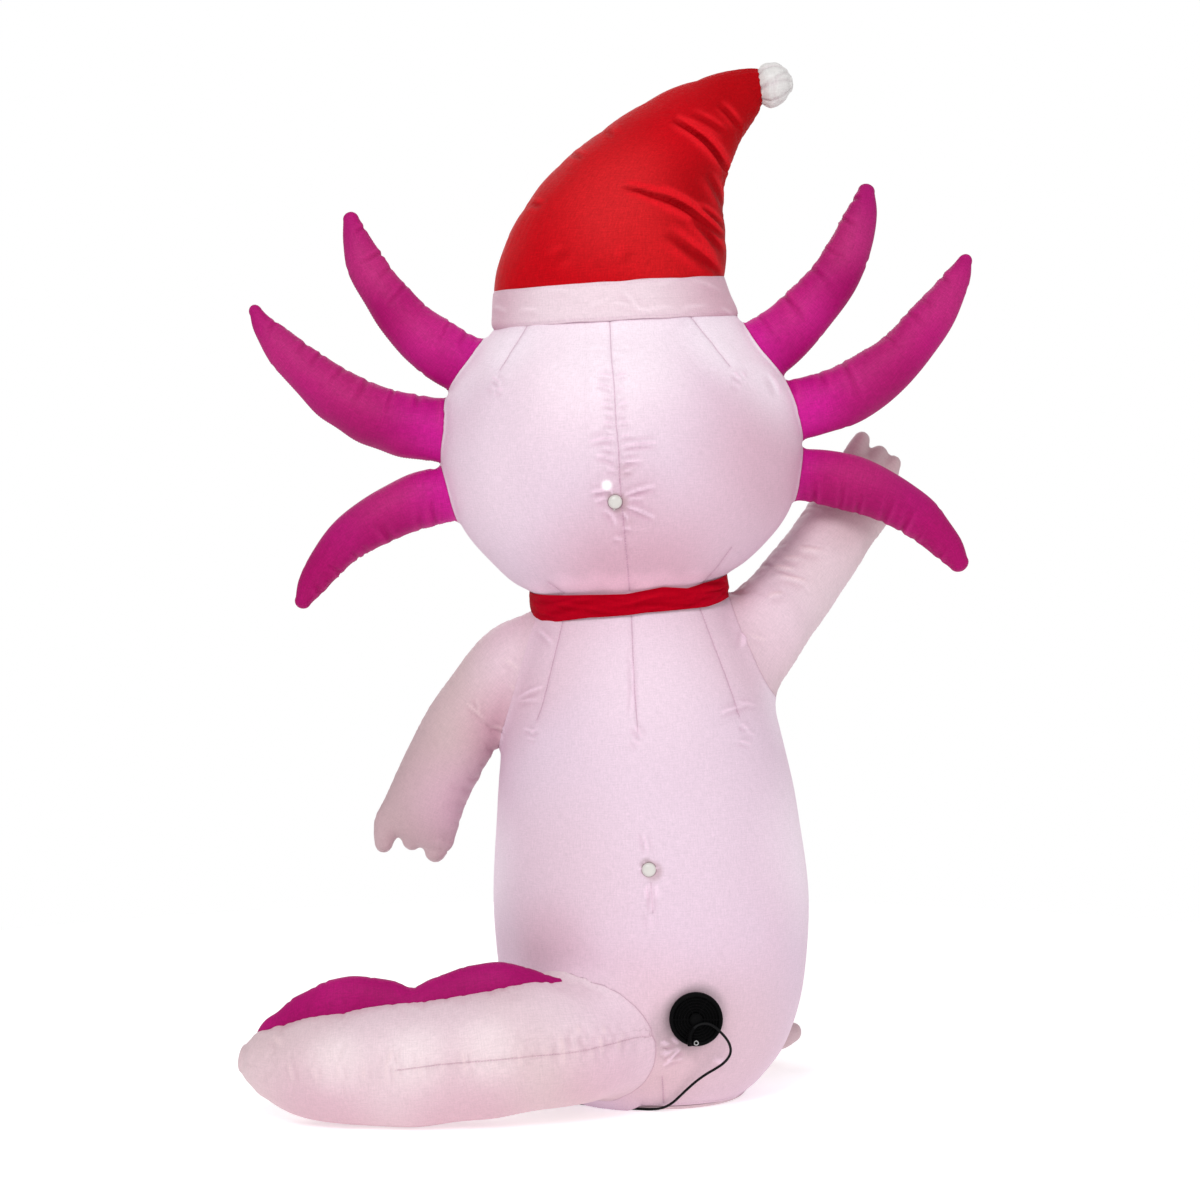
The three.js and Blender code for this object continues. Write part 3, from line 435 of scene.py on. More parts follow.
class Skin:
    """A closed skin of cloth: its points, faces, and where each point lies along and around."""

    def __init__(self, points, quads, triangles, distance, angle, girth):
        self.points, self.quads, self.triangles = points, quads, triangles
        self.distance, self.angle, self.girth = distance, angle, girth
        self.rest = points.copy()
        self.shade = np.zeros(len(points))
        self.sewn = np.full(len(points), FAR_FROM_SEAM)

    @classmethod
    def loft(cls, tube, angles):
        """The skin of one tube, closed at both ends by a point in the middle."""
        rings, sides = len(tube.centre), len(angles)
        across = (tube.across[:, None] * np.cos(angles))[..., None] * tube.across_way[:, None]
        deep = (tube.deep[:, None] * np.sin(angles))[..., None] * tube.deep_way[:, None]
        grid = (tube.centre[:, None] + across + deep).reshape(-1, 3)
        end = getattr(tube, "end", tube.centre[-1])
        points = np.vstack([grid, tube.centre[:1], [end]])
        side = np.arange(sides)
        turn = (side + 1) % sides
        low = (np.arange(rings - 1) * sides)[:, None]
        high = low + sides
        quads = np.stack([low + side, low + turn, high + turn, high + side], -1)
        start_pole, end_pole, last = rings * sides, rings * sides + 1, (rings - 1) * sides
        caps = [
            np.stack([np.full(sides, start_pole), turn, side], 1),
            np.stack([np.full(sides, end_pole), last + side, last + turn], 1),
        ]
        distance = np.append(np.repeat(tube.distance, sides), [0, tube.distance[-1]])
        angle = np.append(np.tile(angles, rings), [0, 0])
        girth = 2 * math.pi * float(np.mean(tube.across))
        return cls(points, quads.reshape(-1, 4), np.vstack(caps), distance, angle, girth)

    @classmethod
    def united(cls, tubes, voxel, passes):
        """One skin round several tubes, softened where they meet; places follow the first."""
        shape = bmesh.new()
        for tube in tubes:
            skin = cls.loft(tube, side_angles(float(np.mean(tube.across)), voxel, voxel))
            mesh = skin.to_mesh("tube")
            shape.from_mesh(mesh)
            bpy.data.meshes.remove(mesh)
        mesh = bpy.data.meshes.new("united")
        shape.to_mesh(mesh)
        shape.free()
        holder = place("united", mesh, None)
        remesh = holder.modifiers.new("unite", "REMESH")
        remesh.mode, remesh.voxel_size = "VOXEL", voxel
        soften = holder.modifiers.new("soften", "SMOOTH")
        soften.factor, soften.iterations = 0.5, passes
        solid = evaluated_mesh(holder)
        points = mesh_points(solid)
        faces = [tuple(face.vertices) for face in solid.polygons]
        bpy.data.objects.remove(holder)
        bpy.data.meshes.remove(mesh)
        bpy.data.meshes.remove(solid)
        quads = np.array([f for f in faces if len(f) == 4])
        triangles = np.array([f for f in faces if len(f) == 3]).reshape(-1, 3).astype(int)
        host = tubes[0]
        near = np.empty(len(points), int)
        for start in range(0, len(points), NEAREST_BLOCK):
            block = slice(start, start + NEAREST_BLOCK)
            gaps = np.linalg.norm(points[block, None] - host.centre[None], axis=2)
            near[block] = gaps.argmin(axis=1)
        off = points - host.centre[near]
        across = (off * host.across_way[near]).sum(axis=1) / host.across[near]
        deep = (off * host.deep_way[near]).sum(axis=1) / host.deep[near]
        angle = np.arctan2(deep, across) % (2 * math.pi)
        distance = host.distance[near] + (off * host.along[near]).sum(axis=1)
        girth = 2 * math.pi * float(np.mean(host.across))
        return cls(points, quads, triangles, distance, angle, girth)

    def normals(self):
        """Each point's way out of the skin."""
        points = self.points
        total = np.zeros_like(points)
        a, b, c, d = (points[self.quads[:, i]] for i in range(4))
        face = np.cross(c - a, d - b)
        for i in range(4):
            add_rows(total, self.quads[:, i], face)
        if len(self.triangles):
            a, b, c = (points[self.triangles[:, i]] for i in range(3))
            face = np.cross(b - a, c - a)
            for i in range(3):
                add_rows(total, self.triangles[:, i], face)
        return unit(total + 1e-12)

    def press(self, shift, shaded=True):
        """Moves each point out by shift: what is drawn in is shaded, and a ridge is lit."""
        self.points = self.points + self.normals() * shift[:, None]
        if shaded:
            self.shade = self.shade + np.clip(-shift / SHADED_DEPTH, -0.6, 1)

    def mark(self, gap):
        """Keeps each point's signed distance from the nearest sewn line."""
        self.sewn = np.where(np.abs(gap) < np.abs(self.sewn), gap, self.sewn)

    def stay_above(self, height):
        """Lays the cloth that would hang lower than this height flat at it."""
        self.points[:, 2] = np.maximum(self.points[:, 2], height)

    def faces(self):
        return self.quads.tolist() + self.triangles.tolist()

    def surface(self):
        return BVHTree.FromPolygons(self.points.tolist(), self.faces())

    def to_mesh(self, name):
        mesh = bpy.data.meshes.new(name)
        mesh.from_pydata(self.points.tolist(), [], self.faces())
        return shade_smooth(mesh, CLOTH_SHARP)

    def to_object(self, name, material):
        """The finished piece: the cloth's own directions, and the painted shade and highlights of
        its folds, are its attributes.
        """
        mesh = self.to_mesh(name)
        around = self.angle / (2 * math.pi) * self.girth
        weave = np.stack([around, self.distance, 0 * self.angle], 1)
        for label, kind, field, values in (
            ("weave", "FLOAT_VECTOR", "vector", weave.ravel()),
            ("crease", "FLOAT", "value", np.clip(self.shade, -1, 1)),
            ("sewn", "FLOAT", "value", self.sewn),
        ):
            mesh.attributes.new(label, kind, "POINT").data.foreach_set(field, values)
        return place(name, mesh, material)


def shade_smooth(mesh, sharp=None):
    """Shades a mesh smooth, and keeps the edges where it turns by more than so many degrees."""
    mesh.polygons.foreach_set("use_smooth", np.ones(len(mesh.polygons), bool))
    if sharp:
        mesh.set_sharp_from_angle(angle=math.radians(sharp))
    return mesh


def mesh_points(mesh):
    """The places of a mesh's vertices."""
    points = np.empty(len(mesh.vertices) * 3)
    mesh.vertices.foreach_get("co", points)
    return points.reshape(-1, 3)


def add_rows(total, index, rows):
    """Adds each row to the place its index names, where one place may be named often."""
    for axis in range(3):
        total[:, axis] += np.bincount(index, rows[:, axis], len(total))


# how two pieces meet: the passes that round their corner, how far cloth that lies inside the
# other piece is tucked further in, and how deep inside it is left as it is; metres
JOIN_PASSES = 3
TUCK_SHARE, TUCK_LEAST, TUCK_MOST = 0.35, 0.0003, 0.004
HIDDEN_DEPTH = 0.009


def depth_under(surface, spots):
    """Signed distances of spots from a closed surface, and the ways that lead out of it."""
    gaps, ways = np.empty(len(spots)), np.empty((len(spots), 3))
    for index, spot in enumerate(spots):
        close, normal, _, gap = surface.find_nearest(spot)
        off = Vector(spot) - close
        side = 1.0 if off.dot(normal) >= 0 else -1.0
        gaps[index] = side * gap
        ways[index] = off * (side / gap) if gap > 1e-6 else normal
    return gaps, ways


def join(first, second, reach, marked):
    """Sews two blown-up skins together: rounds the corner between them and marks the seam."""
    surfaces = {first: first.surface(), second: second.surface()}
    moved = {}
    for skin, other in ((first, second), (second, first)):
        own, far = surfaces[skin], surfaces[other]
        low, high = other.points.min(axis=0) - reach, other.points.max(axis=0) + reach
        near = np.flatnonzero(((skin.points > low) & (skin.points < high)).all(axis=1))
        gap, _ = depth_under(far, skin.points[near])
        close = np.abs(gap) < reach
        near, gap = near[close], gap[close]
        spots = skin.points[near].copy()
        for _ in range(JOIN_PASSES):
            a, out = depth_under(own, spots)
            b, away = depth_under(far, spots)
            share = np.clip(0.5 + 0.5 * (b - a) / reach, 0, 1)
            value = b + (a - b) * share - reach * share * (1 - share)
            way = out * share[:, None] + away * (1 - share)[:, None]
            spots -= way * (value / np.clip((way**2).sum(axis=1), 0.25, None))[:, None]
        under = np.clip(-gap, 0, None)
        tuck = np.minimum(TUCK_SHARE * under + TUCK_LEAST * (under > 0), TUCK_MOST)
        spots -= unit(way) * tuck[:, None]
        hidden = np.clip(1 - (under - HIDDEN_DEPTH) / (0.2 * reach), 0, 1)[:, None]
        moved[skin] = near, skin.points[near] + (spots - skin.points[near]) * hidden, gap
    for skin, (near, points, gap) in moved.items():
        skin.points = skin.points.copy()
        skin.points[near] = points
        closer = marked & (np.abs(gap) < np.abs(skin.sewn[near]))
        skin.sewn[near[closer]] = gap[closer]


def evaluated_mesh(holder):
    """The mesh that an object's modifiers make."""
    bpy.context.view_layer.update()
    graph = bpy.context.evaluated_depsgraph_get()
    return bpy.data.meshes.new_from_object(holder.evaluated_get(graph), depsgraph=graph)


def place(name, mesh, material):
    """A new object at the origin, with its material if it gets one here."""
    piece = bpy.data.objects.new(name, mesh)
    bpy.context.collection.objects.link(piece)
    if material:
        mesh.materials.clear()
        mesh.materials.append(material)
    return piece


KEPT = {}  # blown-up pieces by CAD node, before they are sewn together


def keep(name, skin, finish, slot, node, fill, lines=(), thread="thread"):
    """Keeps a skin until the pieces are sewn together, with its finish and its stitched lines."""
    KEPT[node] = name, skin, finish, slot, fill, lines, thread


def finish_piece(piece, slot, *nodes, fill=None):
    """Rides a piece on the figure and hides the CAD nodes that it stands for."""
    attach(piece, "root")
    if nodes:
        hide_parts(*nodes)
    return piece


# ---- seams, wrinkles and slack ----

# the section of a fold: the height, middle and spread of each rise and dip across it
RIDGE = ((1.0, 0.0, 0.85), (-0.5, -2.0, 1.3), (-0.25, 2.2, 1.4))
VALLEY = ((0.5, 1.9, 1.2), (0.3, -1.9, 1.3), (-1.0, 0.0, 1.0))
FOLD_REACH = 5  # widths from its middle at which a fold has died away
FOLD_BOW = 0.12  # how far a fold bows out of line, as a share of its length


def fold(offset, width, raised=False):
    """The section of a fold: a valley between two soft ridges, or a ridge between two valleys."""
    across = offset / width
    rises = RIDGE if raised else VALLEY
    return sum(height * bell(across - middle, spread) for height, middle, spread in rises)


def back_side(skin):
    """How far each point faces the back: 1 there, 0 at the front."""
    return np.clip(0.35 - skin.normals()[:, 1] * 3, 0, 1)


def wrinkles(skin, rows, strength=1.0, raised=True):
    """Folds between two places each, on the back."""
    facing = back_side(skin)
    shift = np.zeros(len(skin.points))
    for x0, z0, x1, z1, width, depth in rows:
        start, end = np.array([x0, z0]) * MM, np.array([x1, z1]) * MM
        way = end - start
        length = float(np.hypot(*way))
        way = way / length
        off = skin.rest[:, [0, 2]] - start
        t = off @ way / length
        across = off @ np.array([-way[1], way[0]])
        near = (facing > 0) & (t > 0) & (t < 1) & (np.abs(across) < FOLD_REACH * width * MM)
        bow = FOLD_BOW * length * (t[near] - t[near] ** 2)
        fade = np.clip(4 * t[near] * (1 - t[near]), 0, 1) ** 0.8
        section = fold(across[near] - bow, width * MM, raised)
        shift[near] += section * depth * MM * fade * facing[near]
    skin.press(shift * strength)


SEAM_ROOM = (0.04, 0.01)  # metres beside a seam, and beyond its ends, that it may shape
SWELL_MIDDLE, SWELL_WIDTH = 0.018, 0.014  # metres; where the cloth swells up beside a seam
PULL_SHARE, PULL_APART = 0.35, 5  # how unevenly a thread pulls, and over how many places


def seam(skin, route, depth, width, swell=0.0, seed=0):
    """A stitched seam on the back: a narrow groove whose depth varies as the thread pulls.

    The depth, the width and how far the cloth swells beside it are in millimetres.
    """
    chance = np.random.default_rng(seed)
    facing = back_side(skin)
    line = resampled(np.array(route) * MM, 0.002)
    flat = skin.rest[:, [0, 2]]
    low, high = line.min(axis=0) - SEAM_ROOM, line.max(axis=0) + SEAM_ROOM
    near = np.flatnonzero((facing > 0) & ((flat > low) & (flat < high)).all(axis=1))
    gaps = np.linalg.norm(flat[near][:, None] - line[None], axis=2)
    nearest = gaps.argmin(axis=1)
    inside = (nearest > 0) & (nearest < len(line) - 1)
    way = unit(np.gradient(line, axis=0))[nearest]
    off = flat[near] - line[nearest]
    side = way[:, 0] * off[:, 1] - way[:, 1] * off[:, 0]
    gap = np.abs(side)
    pull = 1 + PULL_SHARE * smooth_noise(len(line), PULL_APART, chance)
    groove = -depth * pull[nearest] * np.exp(-gap / (width * MM))
    groove += swell * bell(gap - SWELL_MIDDLE, SWELL_WIDTH)
    shift = np.zeros(len(skin.points))
    shift[near] = groove * MM * facing[near] * inside
    skin.press(shift, shaded=False)
    sides = np.full(len(skin.points), 1.0)
    sides[near] = np.where(inside, side, 1.0)
    skin.mark(sides)


DART_CONE, DART_DIP = 0.026, 0.006  # metres; the width of a dart's cone and of the dip on it


def dart_ends(skin, places, height):
    """The blunt cone in the cloth where a dart's stitching stops."""
    facing = back_side(skin)
    shift = np.zeros(len(skin.points))
    for x, z in places:
        gap = np.hypot(skin.rest[:, 0] - x * MM, skin.rest[:, 2] - z * MM)
        shift += height * MM * bell(gap, DART_CONE) * facing
        shift -= 0.6 * height * MM * bell(gap, DART_DIP) * facing
    skin.press(shift, shaded=False)


def button_dimple(skin, button, depth):
    """The cloth drawn in round a lamp's button."""
    gap = np.hypot(skin.rest[:, 0] - button[0], skin.rest[:, 2] - button[2])
    skin.press(-depth * bell(gap, 0.02) * back_side(skin), shaded=False)


def off_angle(angle, degrees):
    """How far round from some degrees each angle lies, from -180 to 180."""
    return (np.degrees(angle) - degrees + 180) % 360 - 180


def off_side_seams(skin):
    """How many degrees each point lies from the nearer of the seams at 0 and 180 degrees."""
    return np.minimum(np.abs(off_angle(skin.angle, 0)), np.abs(off_angle(skin.angle, 180)))


def bend_wrinkles(skin, tube, count, seed, depth=2.4, width=4.2, reach=62.0, span=(0.08, 0.94)):
    """Folds squeezed up across the inside of a tube's bend, and short ones on its outer seam."""
    chance = np.random.default_rng(seed)
    inner = tube.bend_side()
    length = tube.distance[-1]
    shift = np.zeros(len(skin.points))
    for k in range(count):
        part = span[0] + (span[1] - span[0]) * (k + chance.uniform(0.2, 0.8)) / count
        strong = chance.uniform(0.45, 1.0)
        half = reach * chance.uniform(0.45, 1.0)
        lean = chance.uniform(-0.3, 0.3)
        tilt = chance.uniform(-9, 9)
        off = (np.degrees(skin.angle) - inner - tilt + 180) % 360 - 180
        ahead = skin.distance - part * length - lean * off / 90 * 0.03 + (off / 90) ** 2 * 0.006
        fade = np.clip(1 - (off / half) ** 2, 0, 1)
        shift += fold(ahead, width * MM * chance.uniform(0.75, 1.3)) * depth * MM * strong * fade
    skin.press(shift)


def seam_ticks(skin, tube, angle, count, seed, depth=1.6, width=3.4, half=16.0):
    """Short pinches across a seam that runs along a tube at the given angle."""
    chance = np.random.default_rng(seed)
    off = off_angle(skin.angle, angle)
    groove = -0.7 * MM * np.exp(-(np.abs(off) / 3.0))
    shift = groove.copy()
    for k in range(count):
        part = (k + chance.uniform(0.15, 0.85)) / count
        ahead = skin.distance - part * tube.distance[-1]
        ahead = ahead + chance.uniform(-0.2, 0.2) * off / 90 * 0.04
        reach = half * chance.uniform(0.5, 1.6)
        fade = np.clip(1 - (off / reach) ** 2, 0, 1)
        shift += fold(ahead, width * MM) * depth * MM * chance.uniform(0.3, 1.0) * fade
    skin.press(shift)
    skin.mark(np.radians(off) * skin.girth / (2 * math.pi))


def slack(skin, height, length, seed):
    """Broad, low unevenness of cloth that the air doesn't draw quite tight."""
    chance = np.random.default_rng(seed)
    shift = np.zeros(len(skin.points))
    for _ in range(9):
        way = unit(chance.normal(size=3)) / (length * chance.uniform(0.6, 1.5))
        shift += np.sin(2 * math.pi * (skin.rest @ way) + chance.uniform(0, 2 * math.pi))
    skin.press(shift * height / 3, shaded=False)


def smooth_noise(count, knots_apart, chance):
    """Uneven values that change smoothly from one to the next."""
    knots = chance.uniform(-1, 1, count // knots_apart + 3)
    return np.interp(np.arange(count) / knots_apart, np.arange(len(knots)), knots)


def resampled(line, spacing):
    """Evenly spaced points along a line of points."""
    reach = np.concatenate([[0], np.cumsum(np.linalg.norm(np.diff(line, axis=0), axis=1))])
    even = np.linspace(0, reach[-1], max(2, round(reach[-1] / spacing)) + 1)
    return np.stack([np.interp(even, reach, column) for column in line.T], 1)


# ---- cloth blown up in a simulation ----

# the simulation's own settings: a light, easily bent cloth under even air pressure
AIR_SETTINGS = {
    "quality": 5, "mass": 0.1, "tension_stiffness": 12.0, "compression_stiffness": 12.0,
    "tension_damping": 8.0, "compression_damping": 8.0, "shear_stiffness": 3.0,
    "bending_stiffness": 0.3, "air_damping": 4.0, "vertex_group_mass": "held",
    "vertex_group_shrink": "tight", "shrink_max": 0.0, "use_pressure": True,
    "uniform_pressure_force": 4.0,
}
AIR_FRAMES = 20


def puff(skin, held, loose, grow, region=None, cap=0.010):
    """Lets air press the cloth out while its seams, shorter than the cloth, draw in puckers.

    held names the points that stay, and loose says from 0 to 1 where the cloth is longer than
    its seams, by the share grow. Only the region's points are simulated, and none of them moves
    further than cap, in metres.
    """
    region = np.ones(len(skin.points), bool) if region is None else region
    index = np.cumsum(region) - 1
    rows, edge = [], ~region
    for group in (skin.quads, skin.triangles):
        if len(group):
            inside = region[group]
            rows += index[group[inside.all(axis=1)]].tolist()
            edge[group[~inside.all(axis=1)].ravel()] = True
    mesh = bpy.data.meshes.new("blown")
    mesh.from_pydata(skin.points[region].tolist(), [], rows)
    holder = place("blown", mesh, None)
    pins = holder.vertex_groups.new(name="held")
    pins.add(np.flatnonzero((held | edge)[region]).tolist(), 1.0, "REPLACE")
    tight = holder.vertex_groups.new(name="tight")
    for vertex, weight in enumerate((1 - loose[region]).tolist()):
        tight.add([vertex], max(weight, 0.0), "REPLACE")
    air = holder.modifiers.new("air", "CLOTH")
    for name, value in AIR_SETTINGS.items():
        setattr(air.settings, name, value)
    air.settings.shrink_min = -grow
    air.settings.effector_weights.gravity = 0.0
    air.collision_settings.use_collision = False
    air.point_cache.frame_start, air.point_cache.frame_end = 1, AIR_FRAMES
    scene = bpy.context.scene
    for number in range(1, AIR_FRAMES + 1):
        scene.frame_set(number)
    blown = evaluated_mesh(holder)
    move = mesh_points(blown) - skin.points[region]
    far = np.linalg.norm(move, axis=1, keepdims=True)
    skin.points = skin.points.copy()
    skin.points[region] += move * np.minimum(1, cap / np.maximum(far, 1e-9))
    bpy.data.objects.remove(holder)
    bpy.data.meshes.remove(mesh)
    bpy.data.meshes.remove(blown)
    scene.frame_set(1)


def cubic(values, at, wrap):
    """Smooth values between the rows of a grid, at fractions of a row."""
    base = np.floor(at).astype(int)
    t = (at - base)[:, None, None]
    weights = (
        -0.5 * t + t**2 - 0.5 * t**3, 1 - 2.5 * t**2 + 1.5 * t**3,
        0.5 * t + 2 * t**2 - 1.5 * t**3, -0.5 * t**2 + 0.5 * t**3,
    )
    total = 0
    for row, weight in enumerate(weights, start=-1):
        row = (base + row) % len(values) if wrap else np.clip(base + row, 0, len(values) - 1)
        total = total + values[row] * weight
    return total


def blown_loft(rows, spacing, angles, shape, coarse=0.005, upright=False, tip=0.0):
    """A fine loft that takes its folds and puckers from a coarser one, which shape works on."""
    tube = Tube(rows, spacing, upright=upright, tip=tip)
    skin = Skin.loft(tube, angles)
    rough_tube = Tube(rows, coarse, upright=upright, tip=tip)
    sides = round(2 * math.pi * float(np.mean(rough_tube.across)) / coarse)
    around = np.linspace(0, 2 * math.pi, sides, endpoint=False)
    rough = Skin.loft(rough_tube, around)
    before = rough.points.copy()
    shape(rough, rough_tube)
    along = np.interp(tube.distance, rough_tube.distance, np.arange(len(rough_tube.distance)))
    about = angles / (2 * math.pi) * sides

    def finer(values):
        """Values of the coarse loft's grid, carried over to the fine one's."""
        grid = cubic(values[:-2].reshape(len(rough_tube.centre), sides, -1), along, False)
        return cubic(grid.transpose(1, 0, 2), about, True).transpose(1, 0, 2)

    move = finer(rough.points - before)
    ends = [move[0].mean(axis=0), move[-1].mean(axis=0)]
    skin.points = skin.points + np.vstack([move.reshape(-1, 3), ends])
    skin.shade = np.append(finer(rough.shade).ravel(), [0, 0])
    return tube, skin


# ---- nodes, for the materials and for the geometry ----

def link_or_set(tree, socket, value):
    """Links another node's output to a socket, or gives the socket a fixed value."""
    if isinstance(value, bpy.types.NodeSocket):
        tree.links.new(value, socket)
    else:
        socket.default_value = value


def add_node(tree, kind, sockets=None, **settings):
    """A new node with its settings made and its inputs linked or set."""
    made = tree.nodes.new(kind)
    for name, value in settings.items():
        setattr(made, name, value)
    for name, value in (sockets or {}).items():
        link_or_set(tree, made.inputs[name], value)
    return made


# ---- materials ----

MIX_FACTOR, MIX_FIRST, MIX_SECOND, MIX_RESULT = 0, 6, 7, 2  # a colour mix node's sockets


class Finish:
    """Builds one material: adds nodes and links them by name."""

    def __init__(self, name, **sockets):
        self.material = bpy.data.materials.new(name)
        self.material.use_nodes = True
        self.tree = self.material.node_tree
        self.shader = self.tree.nodes["Principled BSDF"]
        self.place = self.node("ShaderNodeTexCoord").outputs["Object"]
        self.set(self.shader, sockets)

    def set(self, node, sockets):
        for name, value in sockets.items():
            link_or_set(self.tree, node.inputs[name], value)

    def node(self, kind, sockets=None, **settings):
        return add_node(self.tree, kind, sockets, **settings)

    def noise(self, scale, detail=2.0, vector=None, roughness=0.5):
        return self.node("ShaderNodeTexNoise", {
            "Vector": vector or self.place, "Scale": scale, "Detail": detail,
            "Roughness": roughness,
        }).outputs["Fac"]

    def ranged(self, value, low, high, to_low, to_high, ease="LINEAR"):
        sockets = {
            "Value": value, "From Min": low, "From Max": high, "To Min": to_low, "To Max": to_high,
        }
        return self.node("ShaderNodeMapRange", sockets, interpolation_type=ease).outputs["Result"]

    def mixed(self, factor, first, second, blend="MIX"):
        first, second = (
            value if isinstance(value, bpy.types.NodeSocket) else (*value, 1.0)
            for value in (first, second)
        )
        return self.node(
            "ShaderNodeMix", {MIX_FACTOR: factor, MIX_FIRST: first, MIX_SECOND: second},
            data_type="RGBA", blend_type=blend,
        ).outputs[MIX_RESULT]

    def math(self, operation, first, second=0.0, third=None):
        sockets = {0: first, 1: second} if third is None else {0: first, 1: second, 2: third}
        return self.node("ShaderNodeMath", sockets, operation=operation).outputs[0]

    def attribute(self, name, output="Fac"):
        return self.node("ShaderNodeAttribute", attribute_name=name).outputs[output]

    def bump(self, height, strength, distance, under=None):
        sockets = {"Height": height, "Strength": strength, "Distance": distance}
        if under:
            sockets["Normal"] = under
        return self.node("ShaderNodeBump", sockets).outputs["Normal"]


def falloff(finish, spot, inner, outer):
    """1 as far as inner from a spot, falling to 0 at outer."""
    gap = finish.node("ShaderNodeVectorMath", {0: finish.place, 1: spot}, operation="DISTANCE")
    return finish.ranged(gap.outputs["Value"], inner, outer, 1.0, 0.0, "SMOOTHSTEP")


SATIN = 0.02  # cloth with no more gloss than this reflects in its own colour
PAINTED_SHADE_AND_SEAM_TINT = (0.62, 0.4, 0.5)  # painted shade in creases and beside seams, and the seams' dark line: what they leave of the cloth's red, green and blue
SLUBS = ((60.0, 520.0, 1.0), (520.0, 60.0, 1.0))  # thick threads across the weave and along it


def cloth(name, dyes, glow, lamp=None, spots=(), tones=(), crease=0.4, gloss=0.3, coarse=1.0,
          sheen=1.0, ridge_highlight_lift=0.02):
    """Thin coated polyester: uneven dye, fine weave, painted shade in creases and painted
    highlights on ridges, tones and painted light mixed in at places, and a faint painted glow all
    over that is stronger where a lamp shows through.

    dyes are the cloth's colour, the one that it varies towards, and the one near its lamp.
    """
    values = bpy.context.scene.inflatable_cloth
    colour, tint, lit = dyes
    finish = Finish(name, **{
        "Roughness": values.roughness,
        "Specular IOR Level": gloss,
        "Specular Tint": (1.0, 1.0, 1.0, 1.0) if gloss > SATIN else (*colour, 1.0),
        "Sheen Weight": values.sheen * sheen,
        "Sheen Roughness": 0.4,
        "Sheen Tint": (*colour, 1.0),
    })
    broad = finish.ranged(finish.noise(3.4, 2.0), 0.38, 0.62, 0.0, 1.0)
    colours = finish.mixed(broad, colour, tint)
    near = falloff(finish, *lamp) if lamp else None
    if near:
        colours = finish.mixed(near, colours, lit)
    # tones mixed in at places: most are painted highlights and painted shade, a few tint the cloth
    for *place_and_reach, tone, amount in tones:
        share = finish.math("MULTIPLY", falloff(finish, *place_and_reach), amount)
        colours = finish.mixed(share, colours, tone)
    rough_weave = finish.noise(330.0, 2.0, roughness=0.7)
    grain = finish.ranged(rough_weave, 0.3, 0.7, 1 - 0.06 * coarse, 1 + 0.045 * coarse)
    for scale in SLUBS:
        woven = finish.attribute("weave", "Vector")
        slub = finish.node("ShaderNodeMapping", {0: woven, "Scale": scale}).outputs[0]
        uneven = finish.noise(1.0, 1.0, slub)
        slub = finish.ranged(uneven, 0.3, 0.7, 1 - 0.04 * coarse, 1 + 0.03 * coarse)
        grain = finish.math("MULTIPLY", grain, slub)
    # painted shade in the hollows of folds and painted highlights on their ridges, as the skin
    # carries them
    drawn = finish.attribute("crease")
    off_seam = finish.math("ABSOLUTE", finish.attribute("sewn"))
    # the dark line along each seam
    sewn_line = finish.ranged(off_seam, 0.0003, 0.0014, 1.0, 0.0, "SMOOTHSTEP")
    # painted shade in the hollows of folds
    dark = finish.ranged(drawn, 0.0, 1.0, 0.0, crease)
    dark = finish.math("ADD", dark, finish.math("MULTIPLY", sewn_line, 0.6 * crease))
    # painted shade on the cloth beside each seam
    beside = finish.ranged(off_seam, 0.0, 0.008, 0.2 * crease, 0.0, "SMOOTHSTEP")
    dark = finish.math("ADD", dark, beside)
    # painted shade and the seams' dark line: the colour goes towards a deeper tint
    colours = finish.mixed(dark, colours, [c * part for c, part in zip(colour, PAINTED_SHADE_AND_SEAM_TINT)])
    # painted highlight on the ridges of folds, lifted a little towards white
    light = finish.ranged(drawn, -0.5, 0.0, crease, 0.0)
    colours = finish.mixed(light, colours, [min(1.0, c * 1.25 + ridge_highlight_lift) for c in colour])
    grey = finish.node("ShaderNodeCombineColor", {"Red": grain, "Green": grain, "Blue": grain})
    colours = finish.mixed(1.0, colours, grey.outputs["Color"], "MULTIPLY")
    # painted glow: faint all over the cloth, stronger near its lamp, with painted bright spots
    strength = finish.math("MULTIPLY_ADD", near, glow, glow * 0.5) if near else glow
    for *place_and_reach, power in spots:
        lit_spot = finish.math("MULTIPLY", falloff(finish, *place_and_reach), power)
        strength = finish.math("ADD", strength, lit_spot)
    thread = finish.node("ShaderNodeSeparateXYZ", {0: finish.attribute("weave", "Vector")})
    across, along = (
        finish.math("SINE", finish.math("MULTIPLY", thread.outputs[way], values.threads))
        for way in (0, 1)
    )
    groove = finish.bump(finish.math("MULTIPLY", sewn_line, -1.0), 0.6, 0.0008)
    weave = finish.bump(finish.math("MULTIPLY", across, along), 0.25, 0.0002, groove)
    crumple = finish.bump(finish.noise(46.0, 3.0), 0.22, 0.0022, weave)
    finish.set(finish.shader, {
        "Base Color": colours, "Normal": crumple, "Emission Color": colours,
        "Emission Strength": strength,
    })
    return finish.material


def plastic(name, colour, roughness, grain=0.12):
    """Moulded plastic with a fine grain and slightly uneven gloss."""
    finish = Finish(name, **{"Specular IOR Level": 0.5 if min(colour) > 0.1 else 0.05})
    uneven = finish.ranged(finish.noise(60.0, 3.0), 0.3, 0.7, roughness - 0.06, roughness + 0.08)
    colours = finish.mixed(finish.noise(24.0, 2.0), colour, [c * 1.25 for c in colour])
    normal = finish.bump(finish.noise(1900.0, 1.0), grain, 0.0002)
    finish.set(finish.shader, {"Base Color": colours, "Roughness": uneven, "Normal": normal})
    return finish.material


